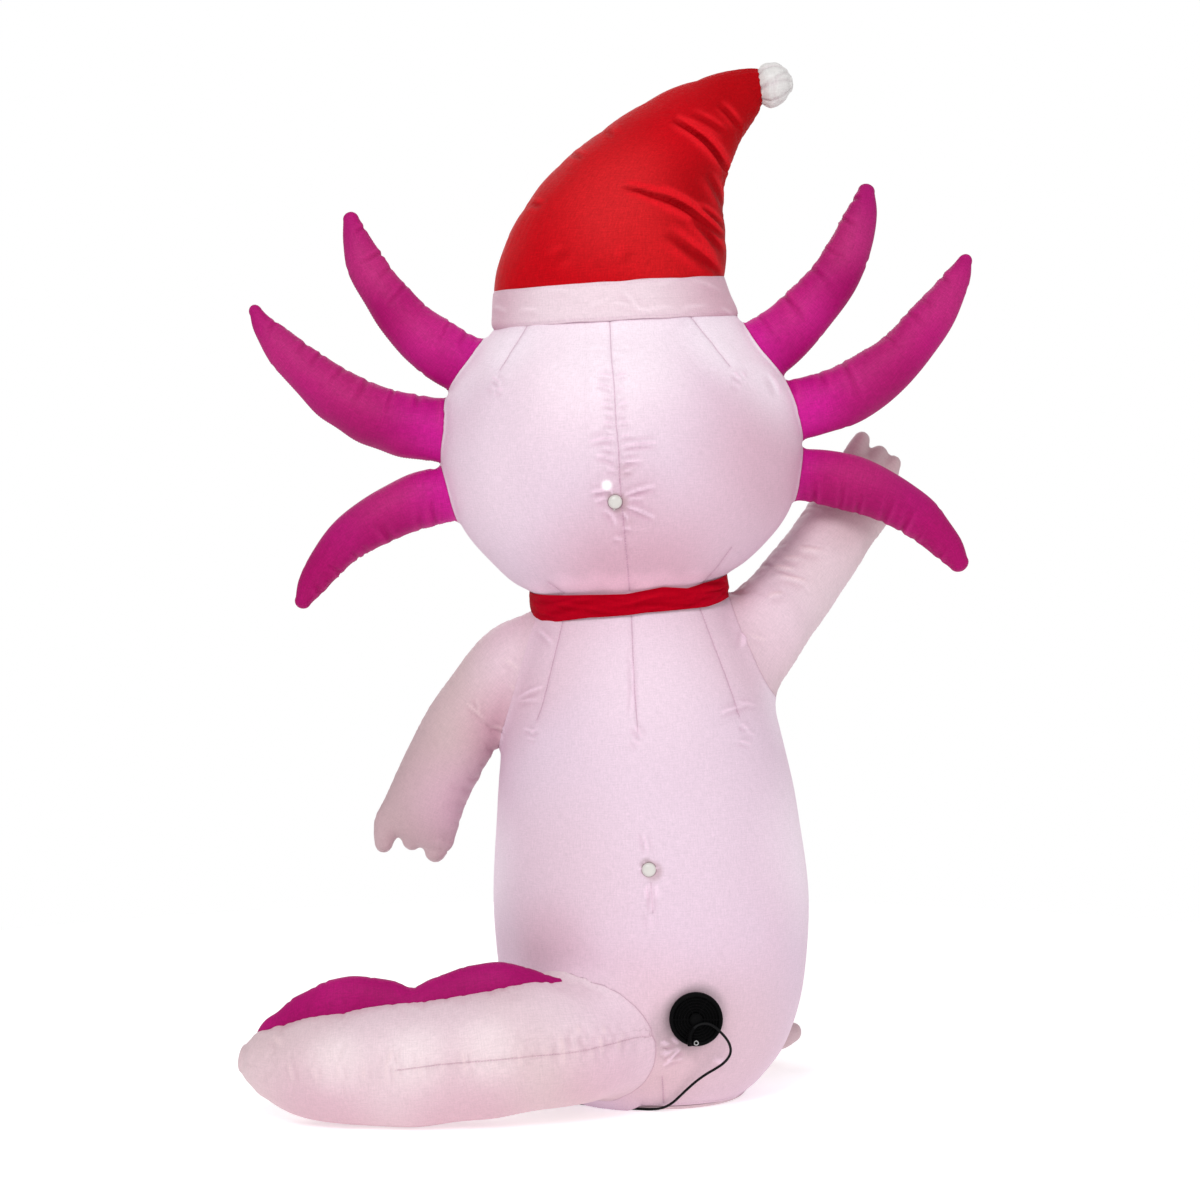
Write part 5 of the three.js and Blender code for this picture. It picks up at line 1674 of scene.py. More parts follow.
class SetStage(bpy.types.Operator):
    """Sets the camera behind the figure, with a pale floor and soft even light"""

    bl_idname = "inflatable.stage"
    bl_label = "Stage"

    CAMERA_PLACE = (-0.098, -4.1, 0.874)
    FIGURE_MIDDLE = (0, 0, 0.95)  # what the lights point at

    def execute(self, context):
        scene = context.scene
        values = scene.inflatable_stage
        self.set_camera(scene, values)
        self.lay_floor(values)
        self.set_surround(scene, values)
        self.hang_lights(scene, values)
        return {"FINISHED"}

    def set_camera(self, scene, values):
        lens = bpy.data.cameras.new("camera")
        lens.lens, lens.sensor_width, lens.clip_end = values.lens, 36.0, 200.0
        camera = bpy.data.objects.new("camera", lens)
        camera.location = self.CAMERA_PLACE
        camera.rotation_euler = (math.radians(90), 0, 0)
        scene.collection.objects.link(camera)
        scene.camera = camera

    def lay_floor(self, values):
        shape = bmesh.new()
        bmesh.ops.create_circle(shape, cap_ends=True, segments=96, radius=values.floor)
        mesh = bpy.data.meshes.new("floor")
        shape.to_mesh(mesh)
        shape.free()
        ground = Finish("floor", **{"Roughness": 0.9, "Specular IOR Level": 0.1})
        pale = ground.mixed(ground.noise(1.3, 1.0), (0.86, 0.86, 0.865), (0.88, 0.88, 0.88))
        ground.set(ground.shader, {
            "Base Color": pale, "Emission Color": (1, 1, 1, 1), "Emission Strength": 0.42,
        })
        place("floor", mesh, ground.material)

    def set_surround(self, scene, values):
        """Even light from all sides, which the camera sees as plain white."""
        world = bpy.data.worlds.new("surround")
        world.use_nodes = True
        tree = world.node_tree
        around = tree.nodes["Background"]
        around.inputs["Color"].default_value = (1, 1, 1, 1)
        ray = add_node(tree, "ShaderNodeLightPath").outputs["Is Camera Ray"]
        strength = add_node(
            tree, "ShaderNodeMapRange", {"Value": ray, "To Min": values.sky, "To Max": 1.0}
        )
        tree.links.new(strength.outputs["Result"], around.inputs["Strength"])
        scene.world = world
        scene.view_settings.view_transform = "Standard"

    def hang_lights(self, scene, values):
        """Three soft lights: each one's place, its size and its share of the main one's power."""
        for name, spot, across, share in (
            ("key", (-1.2, -4.8, 4.0), 1.6, 1.0), ("fill", (3.2, -3.6, 2.2), 2.4, 0.25),
            ("back", (-1.0, 3.6, 3.2), 3.0, 0.3),
        ):
            light = bpy.data.lights.new(name, "AREA")
            light.energy, light.size = share * values.key, across
            lamp = bpy.data.objects.new(name, light)
            lamp.location = spot
            aim = Vector(self.FIGURE_MIDDLE) - Vector(spot)
            lamp.rotation_euler = aim.to_track_quat("-Z", "Y").to_euler()
            scene.collection.objects.link(lamp)


def coil_route():
    """The cord's way round the coil, wound clockwise from its outside in and out again."""
    changes, at = [], COIL_FIRST
    for turn in range(1, len(COIL_TURNS)):
        changes.append(at)
        at += 360.0 if turn < COIL_FLAT_TURNS else COIL_STACKED
    total = 90.0 + 360.0 * (len(COIL_TURNS) - 1)
    swept = np.arange(COIL_STEP, total - COIL_STEP / 2, COIL_STEP)
    edge = (COIL_EDGE, CORD_REST)
    stops = [(0.0, edge), (COIL_SETTLED, COIL_TURNS[0])]
    for change, before, after in zip(changes, COIL_TURNS, COIL_TURNS[1:]):
        stops += [(change - COIL_EASE / 2, before), (change + COIL_EASE / 2, after)]
    stops += [(total - COIL_SETTLED, COIL_TURNS[-1]), (total, edge)]
    marks = [mark for mark, _ in stops]
    radius, height = (
        np.interp(swept, marks, [spot[way] for _, spot in stops]) for way in (0, 1)
    )
    turn = np.radians(BACK - swept)
    return np.stack([
        COIL_CENTRE[0] + radius * np.cos(turn), COIL_CENTRE[1] + radius * np.sin(turn), height
    ], 1)


class MakeCord(bpy.types.Operator):
    """Lays the fan's cord, its coil and tie, its strain reliefs and its adapter"""

    bl_idname = "inflatable.cord"
    bl_label = "Cord and adapter"

    RELIEF_START = (0.052, -0.2503, 0.1285)
    RELIEF_RADII = ([0, 6, 7, 24], [0.0036, 0.0042, 0.0038, 0.0026])  # by place along it
    RIB = 0.0003
    LEAD_RADII = [0.0027, 0.0048]
    JOINT_OUT, JOINT_LOW, JOINT_HIGH = 0.0003, 0.0202, 0.0216  # the line round the adapter
    BLADE_HIDDEN = 0.002  # how far a blade reaches into the adapter
    # the tie's section: how far it reaches across the turns and how high, in metres
    TIE_OUTLINE = [
        (-0.0122, 0.0006), (-0.0122, 0.0118), (-0.0104, 0.0130), (0.0104, 0.0130),
        (0.0122, 0.0118), (0.0122, 0.0006),
    ]

    def execute(self, context):
        values = context.scene.inflatable_fittings
        cord = self.lay_cord(context.scene, values)
        boots = self.make_boots()
        adapter = self.make_adapter()
        tie = self.make_tie()
        return {"FINISHED"}

    def lay_cord(self, scene, values):
        route = [*CORD_ROUTE, *coil_route().tolist(), *LEAD_ROUTE]
        curve = bpy.data.curves.new("cord", "CURVE")
        curve.dimensions, curve.resolution_u = "3D", 6
        curve.bevel_depth, curve.bevel_resolution = values.cord_diameter / 2, 3
        curve.use_fill_caps = True
        spline = curve.splines.new("BEZIER")
        spline.bezier_points.add(len(route) - 1)
        for point, spot in zip(spline.bezier_points, route):
            point.co = spot
            point.handle_left_type = point.handle_right_type = "AUTO"
        cord = bpy.data.objects.new("fan_cord", curve)
        curve.materials.append(FINISHES["cord"])
        scene.collection.objects.link(cord)
        return finish_piece(cord, "cord_cover", "cord", "cord_coil", "cord_lead")

    def make_boots(self):
        """The ribbed strain relief at the fan and the plain one at the adapter."""
        path = smooth([self.RELIEF_START, *CORD_ROUTE[:4]], 6)
        steps = np.arange(len(path))
        ribbed = np.interp(steps, *self.RELIEF_RADII) + self.RIB * (steps % 3 == 0)
        relief = tapered("fan_strain_relief", path, ribbed, FINISHES["black"])
        finish_piece(relief, "black_plastic", "cord_gland")

        x, y, z = LEAD_ROUTE[-1]
        path = smooth(LEAD_ROUTE[1:], 4)
        path = np.vstack([path[6:], [(x, y + 0.002, z)]])
        taper = np.interp(np.arange(len(path)), [0, len(path) - 1], self.LEAD_RADII)
        boot = tapered("adapter_strain_relief", path, taper, FINISHES["black"])
        return relief, finish_piece(boot, "black_plastic")

    def make_adapter(self):
        """The adapter's case, the line where its halves meet, and its blades."""
        low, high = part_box("adapter_case")
        case = rounded_box("adapter_body", low, high, 0.004, FINISHES["black"])
        finish_piece(case, "black_plastic", "adapter_case")
        out = self.JOINT_OUT
        line = rounded_box(
            "adapter_joint", (low[0] - out, low[1] - out, self.JOINT_LOW),
            (high[0] + out, high[1] + out, self.JOINT_HIGH), 0.0005, FINISHES["black"], 2,
        )
        pieces = [case, finish_piece(line, "black_plastic")]
        for side in ("left", "right"):
            low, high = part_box(f"adapter_blade_{side}")
            low[2] -= self.BLADE_HIDDEN
            blade = rounded_box(f"blade_{side}", low, high, 0.0006, FINISHES["blade"], 3)
            pieces.append(finish_piece(blade, "blade_metal", f"adapter_blade_{side}"))
        return pieces

    def make_tie(self):
        """A flat band closed round the coil's turns at one place."""
        turn = math.radians(100)
        out = np.array([math.cos(turn), math.sin(turn), 0])
        side = np.array([-math.sin(turn), math.cos(turn), 0])
        middle = (COIL_TURNS[0][0] + COIL_TURNS[COIL_FLAT_TURNS - 1][0]) / 2
        centre = np.array([*COIL_CENTRE, 0]) + out * middle
        half, wall, level = 0.0045, 0.0007, 0.0068
        inside = 1 - wall / max(reach for reach, _ in self.TIE_OUTLINE)
        points = []
        for reach, height in self.TIE_OUTLINE:
            for scale, way in ((1, -1), (1, 1), (inside, 1), (inside, -1)):
                lift = level + (height - level) * scale
                points.append(centre + out * reach * scale + side * half * way + (0, 0, lift))
        faces = band_faces(len(self.TIE_OUTLINE), 4)
        tie = from_faces("cord_tie", points, faces, FINISHES["black"], 30)
        return finish_piece(tie, "black_plastic")


class MakeBody(bpy.types.Operator):
    """Sews the body and its base, with their darts, seams and wrinkles"""

    bl_idname = "inflatable.body"
    bl_label = "Body"

    BUTTON_SEAM = [(-13, 404), (-11, 375), (-9, 346)]

    def execute(self, context):
        values = context.scene.inflatable_cloth
        angles = side_angles(0.26, values.fine, values.coarse)
        skin = Skin.loft(Tube(BODY_ROWS, values.fine, upright=True), angles)
        slack(skin, 0.0012, 0.16, seed=3)
        seam(skin, BODY_SEAM, 1.6, 3.2, 0.5, seed=1)
        seam(skin, BODY_LOWER_SEAM, 2.2, 3.4, 0.4, seed=2)
        for number, dart in enumerate(BODY_DARTS):
            seam(skin, dart, 1.1, 3.0, 0.5, seed=10 + number)
        dart_ends(skin, BODY_DART_ENDS, 3.2)
        wrinkles(skin, BODY_WRINKLES, 1.5 * values.crumple)
        seam(skin, self.BUTTON_SEAM, 1.8, 3.0)
        button_dimple(skin, BODY_BUTTON, 0.003)
        self.floor_bulge(skin)
        skin.stay_above(0.0005)
        lines = [(on_cloth, route) for route in (BODY_SEAM, BODY_LOWER_SEAM, *BODY_DARTS)]
        lines.append((round_cloth, len(angles), 2))
        keep("body_skin", skin, "body", "body_cloth", "body", 0.9, lines)

        base = Skin.loft(Tube(BASE_ROWS, 0.002, upright=True), side_angles(0.16, 0.004, 0.006))
        keep("base_cloth", base, "base", "base_cloth", "base_panel", 0.2)
        return {"FINISHED"}

    def floor_bulge(self, skin):
        """The slack cloth at the foot that rests over the cord."""
        low = np.clip((0.034 - skin.rest[:, 2]) / 0.026, 0, 1)
        left = np.clip((0.066 - np.abs(skin.rest[:, 0] + 0.094)) / 0.02, 0, 1)
        skin.press(0.013 * low * left**0.7 * back_side(skin), shaded=False)


class MakeHead(bpy.types.Operator):
    """Sews the head, with its darts, its middle seam and the puckers beside it"""

    bl_idname = "inflatable.head"
    bl_label = "Head"

    def execute(self, context):
        values = context.scene.inflatable_cloth
        angles = side_angles(0.29, values.fine, values.coarse)
        skin = Skin.loft(Tube(HEAD_ROWS, values.fine, upright=True), angles)
        slack(skin, 0.0014, 0.15, seed=5)
        seam(skin, HEAD_SEAM, 1.6, 3.2, 0.4, seed=21)
        for number, dart in enumerate(HEAD_DARTS):
            seam(skin, dart, 1.8, 3.2, 0.5, seed=30 + number)
        dart_ends(skin, HEAD_DART_ENDS, 3.0)
        wrinkles(skin, HEAD_WRINKLES, 1.5 * values.crumple)
        self.pucker(skin)
        button_dimple(skin, HEAD_BUTTON, 0.0035)
        lines = [(on_cloth, route) for route in (HEAD_SEAM, *HEAD_DARTS)]
        keep("head_skin", skin, "head", "head_cloth", "head", 0.95, lines)
        return {"FINISHED"}

    def pucker(self, skin):
        """The cloth beside the middle seam, gathered as it was sewn."""
        line = np.array(HEAD_SEAM)[::-1] * MM
        off = skin.rest[:, 0] - np.interp(skin.rest[:, 2], line[:, 1], line[:, 0])
        height = skin.rest[:, 2]
        region = (np.abs(off) < 0.10) & (height > 0.93) & (height < 1.34)
        region &= skin.normals()[:, 1] < -0.2
        button = np.hypot(skin.rest[:, 0] - HEAD_BUTTON[0], height - HEAD_BUTTON[2]) < 0.014
        middle = np.clip((height - 0.94) / 0.05, 0, 1) * np.clip((1.33 - height) / 0.08, 0, 1)
        held = (np.abs(off) < 0.002) | button
        puff(skin, held, bell(off, 0.032) * middle, grow=0.05, region=region)


class MakeHat(bpy.types.Operator):
    """Sews the hat: its band, its bent crown and the gathered pompom"""

    bl_idname = "inflatable.hat"
    bl_label = "Hat"

    def execute(self, context):
        values = context.scene.inflatable_cloth
        band_tube = Tube(BAND_ROWS, 0.003, upright=True)
        angles = side_angles(0.21, values.fine, values.coarse)
        band = Skin.loft(band_tube, angles)
        slack(band, 0.0008, 0.08, seed=7)
        wrinkles(band, BAND_WRINKLES, values.crumple)
        for edge in (0.0, float(band_tube.distance[-1])):
            self.cinch(band, edge, 0.0004)
        edges = [(round_cloth, len(angles), ring) for ring in (2, len(band_tube.centre) - 3)]
        keep("hat_band_cloth", band, "band", "band_cloth", "hat_band", 0.6, edges)

        tube, crown = blown_loft(CROWN_ROWS, values.fine, angles, self.crown, 0.0062, upright=True)
        wrinkles(crown, CROWN_WRINKLES, 1.1 * values.crumple, raised=False)
        seam_ticks(crown, tube, 180, 4, seed=13, depth=1.6, width=4.5, half=9)
        self.gather(crown, tube)
        edges = [
            (round_cloth, len(angles), 2), (along_cloth, angles, 180, (3, len(tube.centre) - 4)),
        ]
        keep("hat_crown_cloth", crown, "hat", "hat_cloth", "hat_crown", 0.85, edges, "hat_thread")

        pouch = Tube(POMPOM_ROWS, 0.0016, upright=True, tip=5 * MM)
        pompom = Skin.loft(pouch, side_angles(0.038, 0.0016, 0.0016))
        self.crinkle(pompom)
        keep("pompom_cloth", pompom, "pompom", "pompom_cloth", "hat_pompom", 0.5)
        return {"FINISHED"}

    def crown(self, skin, tube):
        """The crown's slack cloth: deep folds run out of the inside of its bend."""
        crumple = bpy.context.scene.inflatable_cloth.crumple
        slack(skin, 0.0016, 0.13, seed=9)
        wrinkles(skin, CROWN_WRINKLES, 0.5 * crumple, raised=False)
        off, back = np.abs(off_angle(skin.angle, 0)), np.abs(off_angle(skin.angle, 180))
        part = skin.distance / tube.distance[-1]
        held = (off < 2) | (back < 2) | (part < 0.01) | (part > 0.99)
        loose = bell(off, 62) * np.clip(part / 0.12, 0, 1)
        puff(skin, held, np.maximum(loose, 0.3 * bell(back, 25)), grow=0.02, cap=0.012)

    def cinch(self, skin, where, depth):
        """Draws the cloth in at a sewn edge."""
        gap = np.abs(skin.distance - where)
        skin.press(-depth * np.exp(-gap / 0.004), shaded=False)
        skin.mark(skin.distance - where)

    def gather(self, skin, tube):
        """Gathers at the hat's tip, where the pompom is sewn on."""
        near = np.clip((skin.distance - tube.distance[-1] + 0.035) / 0.035, 0, 1)
        skin.press(-0.0016 * near * np.abs(np.sin(7 * skin.angle)) ** 0.6)

    def crinkle(self, skin):
        """Long gathers that run out from the pompom's root, and a few soft crumples."""
        chance = np.random.default_rng(31)
        part = skin.distance / skin.distance.max()
        rays = np.abs(np.sin(4.5 * skin.angle + 0.9 * np.sin(2 * skin.angle) + 1.4 * part))
        shift = -0.0042 * (1 - rays) ** 2 * np.clip(1.15 - part, 0, 1) ** 0.8
        for _ in range(5):
            way = unit(chance.normal(size=3))
            offset = (skin.rest - skin.rest.mean(axis=0)) @ way - chance.uniform(-0.024, 0.024)
            bent = offset + 0.004 * np.sin(skin.rest @ unit(chance.normal(size=3)) * 60)
            shift += fold(bent, 0.0028) * 0.0012 * chance.uniform(0.3, 1)
        skin.press(shift)


class MakeCollar(bpy.types.Operator):
    """Wraps the gathered satin collar round the neck"""

    bl_idname = "inflatable.collar"
    bl_label = "Collar"

    # how far the strip's edges stand above and below the neck's middle, round from the left:
    # the angle in degrees, up, down
    EDGES = [
        (0, 24, -15), (40, 22, -18), (90, 20, -19), (140, 22, -17), (150, 22, -20), (165, 22, -25),
        (180, 23, -28), (196, 23, -27), (222, 23, -23.5), (245, 22.5, -17), (268, 19.5, -17),
        (277, 22.5, -15.3), (289, 25.5, -16.4), (305, 17.5, -18), (318, 22, -20), (344, 24.5, -15),
    ]
    NECK_CENTRE = (-0.046, 0, 0.882)
    NECK_ACROSS, NECK_DEEP = 0.163, 0.147  # half sizes of the neck, in metres
    NECK_LEAN, NECK_PITCH = 4.9, 6  # degrees
    OFF_NECK = 0.0134  # metres from the neck to the strip
    BULGE = 0.0012  # how far the strip's middle stands out past its edges
    THICK = 0.0011

    def execute(self, context):
        sides, levels = 560, 19
        angle = np.linspace(0, 2 * math.pi, sides, endpoint=False)
        degrees = np.degrees(angle)
        marks = np.array(self.EDGES + [(360, 24, -15)], float)
        kernel = np.hanning(11) / np.hanning(11).sum()

        def rounded(edge):
            """An edge's marks, joined smoothly all the way round."""
            around = np.tile(np.interp(degrees, marks[:, 0], edge), 3)
            return np.convolve(around, kernel, "same")[sides:2 * sides] * MM

        up, down = rounded(marks[:, 1]), rounded(marks[:, 2])
        lean, pitch = math.radians(self.NECK_LEAN), math.radians(self.NECK_PITCH)
        along = np.array([
            -math.cos(pitch) * math.sin(lean), -math.sin(pitch), math.cos(pitch) * math.cos(lean)
        ])
        across_way = unit(np.cross((0, 1, 0), along))
        deep_way = np.cross(along, across_way)
        out = np.cos(angle)[:, None] * across_way + np.sin(angle)[:, None] * deep_way
        half = np.linspace(0, 1, levels)
        height = down[None] + (up - down)[None] * half[:, None]
        wave = self.folds(angle, half)
        bulge = self.BULGE * np.sin(math.pi * half)[:, None]
        reach = self.OFF_NECK + bulge + wave
        around = np.stack([self.NECK_ACROSS * np.cos(angle), self.NECK_DEEP * np.sin(angle)], 1)
        ellipse = around[:, :1] * across_way + around[:, 1:] * deep_way
        centre = np.array(self.NECK_CENTRE)
        outer = centre + ellipse + out * reach[..., None] + along * height[..., None]
        inner = outer - out * self.THICK
        points = np.vstack([outer, inner[::-1]]).reshape(-1, 3)
        rows, side = 2 * levels, np.arange(sides)
        turn = (side + 1) % sides
        low = (np.arange(rows) * sides)[:, None]
        high = ((np.arange(rows) + 1) % rows * sides)[:, None]
        quads = np.stack([low + side, low + turn, high + turn, high + side], -1).reshape(-1, 4)
        distance = np.concatenate([height.ravel(), height[::-1].ravel()])
        skin = Skin(points, quads, np.empty((0, 3), int), distance, np.tile(angle, rows), 1.05)
        skin.shade = -np.concatenate([wave.ravel(), wave[::-1].ravel()]) / 0.0022
        strip = skin.to_object("collar_cloth", FINISHES["collar"])
        finish_piece(strip, "collar_cloth", "collar")
        return {"FINISHED"}

    def folds(self, angle, half):
        """Long, low folds that run round the strip and wander up and down across it."""
        chance = np.random.default_rng(17)
        wave = np.zeros((len(half), len(angle)))
        for _ in range(120):
            middle, level = chance.uniform(0, 2 * math.pi), chance.uniform(0, 1)
            length, slope = chance.uniform(0.06, 0.32), chance.uniform(-0.9, 0.9)
            gap = (angle - middle + math.pi) % (2 * math.pi) - math.pi
            fade = bell(gap, length)[None]
            off = half[:, None] - level - slope * gap[None] - 0.6 * gap[None] ** 2
            section = fold(off, chance.uniform(0.05, 0.12))
            wave += section * 0.0013 * chance.uniform(0.3, 1.0) * fade
        return wave


class MakeGills(bpy.types.Operator):
    """Sews the six curved gills"""

    bl_idname = "inflatable.gills"
    bl_label = "Gills"

    def execute(self, context):
        values = context.scene.inflatable_cloth
        for seed, (name, rows) in enumerate(GILL_ROWS.items(), start=41):
            sections = [(x, GILL_Y, z, across, across * GILL_DEPTH) for x, z, across in rows]
            angles = side_angles(0.045, values.fine, 1.4 * values.fine)

            def shape(skin, tube):
                inner = tube.bend_side()
                slack(skin, 0.0011, 0.09, seed)
                bend_wrinkles(skin, tube, 8, seed, depth=2.6 * values.crumple, width=4.4, reach=118)
                off = off_side_seams(skin)
                held = (off < 3.2) | (skin.distance < 0.002)
                loose = np.clip((off - 10) / 30, 0, 1) * bell(off_angle(skin.angle, inner), 80)
                puff(skin, held, loose, grow=0.02)

            tube, skin = blown_loft(sections, values.fine, angles, shape, tip=GILL_TIP * MM)
            for side in (0, 180):
                seam_ticks(skin, tube, side, 2, seed + 100 + side, depth=1.8, width=4.0, half=16)
            rings = (2, len(tube.centre) - 6)
            lines = [(along_cloth, angles, side, rings) for side in (0, 180)]
            keep(f"{name}_cloth", skin, "gill", "gill_cloth", name, 0.9, lines, "gill_thread")
        return {"FINISHED"}


def digit_tube(row, spacing):
    """A finger or toe, a little slimmer towards its round tip."""
    x0, y0, z0, x1, y1, z1, radius = row
    start, end = np.array([x0, y0, z0], float), np.array([x1, y1, z1], float)
    rows = [
        (*(start + (end - start) * part), radius * thick, radius * thick)
        for part, thick in ((0, 1.03), (0.4, 1.02), (0.75, 0.97), (1, 0.82))
    ]
    return Tube(rows, spacing, tip=radius * 0.92 * MM)


class MakeArms(bpy.types.Operator):
    """Sews the lowered left arm and the raised right arm with their fingers"""

    bl_idname = "inflatable.arms"
    bl_label = "Arms"

    # how flat the last sections are, towards the fingers
    WRIST = [0.98, 0.9, 0.72, 0.44]

    def execute(self, context):
        values = context.scene.inflatable_cloth
        for name, rows, fingers, folds, seed in (
            ("arm_left", LEFT_ARM_ROWS, LEFT_FINGERS, LEFT_ARM_WRINKLES, 61),
            ("arm_right", RIGHT_ARM_ROWS, RIGHT_FINGERS, RIGHT_ARM_WRINKLES, 62),
        ):
            flat = [1.0] * (len(rows) - 4) + self.WRIST
            sections = [(*row, row[3] * ARM_DEPTH * thin) for row, thin in zip(rows, flat)]
            tube = Tube(sections, values.voxel, tip=ARM_TIP * MM)
            tubes = [tube, *(digit_tube(row, values.voxel) for row in fingers)]
            skin = Skin.united(tubes, values.voxel, passes=9)
            slack(skin, 0.0011, 0.11, seed)
            wrinkles(skin, folds, 1.2 * values.crumple)
            bend_wrinkles(
                skin, tube, 6, seed, depth=1.1 * values.crumple, width=7.0, span=(0.2, 0.9)
            )
            inner = np.abs(off_angle(skin.angle, tube.bend_side()))
            off = off_side_seams(skin)
            part = skin.distance / tube.distance[-1]
            held = (off < 2.5) | (part < 0.02) | (part > 0.97)
            loose = np.maximum(0.7 * bell(off, 30), 0.9 * bell(inner, 60))
            puff(skin, held, loose * np.clip((0.98 - part) / 0.1, 0, 1), grow=0.035)
            keep(f"{name}_cloth", skin, "limb", "limb_cloth", name, 0.9)
        return {"FINISHED"}


class MakeTail(bpy.types.Operator):
    """Sews the tail with its middle seam, and the puffed fin along its top"""

    bl_idname = "inflatable.tail"
    bl_label = "Tail"

    # x in metres, and how far the air lifts the tail's top there, in millimetres
    CREST = [
        (-0.675, 1), (-0.645, 5), (-0.615, 7), (-0.568, 6), (-0.525, 6), (-0.464, 3), (-0.415, 2),
        (-0.367, 6), (-0.317, 10), (-0.256, 12), (-0.2, 7), (-0.165, 1), (-0.12, -4), (-0.08, -4),
        (-0.02, 0),
    ]

    def execute(self, context):
        values = context.scene.inflatable_cloth
        angles = side_angles(0.1, values.fine, 1.5 * values.fine)
        _, skin = blown_loft(
            TAIL_ROWS, values.fine, angles, self.puckers, 0.006, tip=TAIL_TIP * MM
        )
        sewn_part = TAIL_SEAM[:7]
        seam(skin, sewn_part, 1.2, 3.0, seed=72)
        lift = np.interp(skin.rest[:, 0], *zip(*self.CREST)) * MM
        skin.points[:, 2] += lift * np.clip((skin.rest[:, 2] - 0.11) / 0.09, 0, 1) ** 2
        skin.stay_above(0.0004)
        keep("tail_cloth", skin, "limb", "limb_cloth", "tail", 0.9, [(on_cloth, sewn_part)])

        fin_tube = Tube(FIN_ROWS, values.fine, tip=FIN_TIP * MM)
        fin = Skin.loft(fin_tube, side_angles(0.05, values.fine, values.fine))
        slack(fin, 0.0012, 0.08, seed=73)
        seam_ticks(fin, fin_tube, 0, 9, 74, depth=1.3, half=22)
        seam_ticks(fin, fin_tube, 180, 12, 75, depth=1.2, half=22)
        keep("tail_fin_cloth", fin, "gill", "gill_cloth", "tail_fin", 0.8)
        return {"FINISHED"}

    def puckers(self, skin, tube):
        """Short upright puckers along the middle seam and along the top."""
        slack(skin, 0.0016, 0.12, seed=71)
        wrinkles(skin, TAIL_WRINKLES, 1.1 * bpy.context.scene.inflatable_cloth.crumple)
        line = np.array(TAIL_SEAM)[::-1] * MM
        above = skin.rest[:, 2] - np.interp(skin.rest[:, 0], line[:, 0], line[:, 1])
        facing = back_side(skin)
        held = ((np.abs(above) < 0.0035) & (facing > 0.5)) | (skin.distance < 0.004)
        top = np.abs(off_angle(skin.angle, tube.top_side()))
        loose = np.maximum(bell(above, 0.04) * facing, 0.8 * bell(top, 35))
        puff(skin, held | (top < 3), loose, grow=0.016)


class MakeFeet(bpy.types.Operator):
    """Sews the two feet with their toes"""

    bl_idname = "inflatable.feet"
    bl_label = "Feet"

    def execute(self, context):
        values = context.scene.inflatable_cloth
        tube = Tube(FOOT_ROWS, values.voxel, tip=FOOT_TIP * MM)
        tubes = [tube, *(digit_tube(row, values.voxel) for row in TOES)]
        skin = Skin.united(tubes, values.voxel, passes=8)
        slack(skin, 0.001, 0.08, seed=81)
        bend_wrinkles(skin, tube, 5, 82, depth=1.4)
        skin.stay_above(0.0004)
        keep("foot_right_cloth", skin, "limb", "limb_cloth", "foot_right", 0.85)
        other = copy.copy(skin)
        other.points = skin.points * (-1, 1, 1)
        other.quads, other.triangles = skin.quads[:, ::-1], skin.triangles[:, ::-1]
        keep("foot_left_cloth", other, "limb", "limb_cloth", "foot_left", 0.85)
        return {"FINISHED"}


class SewPieces(bpy.types.Operator):
    """Sews the blown-up pieces to each other, and lays their cloth and their stitches"""

    bl_idname = "inflatable.sewing"
    bl_label = "Sewing"

    # the two pieces, how far from the seam their corner is rounded, and whether the seam shows
    JOINS = [
        ("body", "arm_left", 0.024, False), ("body", "arm_right", 0.035, True),
        ("body", "tail", 0.055, True), ("body", "foot_left", 0.015, True),
        ("body", "foot_right", 0.015, True), *(("head", node, 0.016, True) for node in GILL_ROWS),
    ]

    def execute(self, context):
        for first, second, reach, marked in self.JOINS:
            join(KEPT[first][1], KEPT[second][1], reach, marked)
        for node, (name, skin, finish, slot, fill, lines, thread) in KEPT.items():
            skin.stay_above(0.0002)
            finish_piece(skin.to_object(name, FINISHES[finish]), slot, node, fill=fill)
            if lines:
                laid = [lay(skin, *where) for lay, *where in lines]
                sewn(f"{node}_stitches", laid, slot, thread)
        return {"FINISHED"}


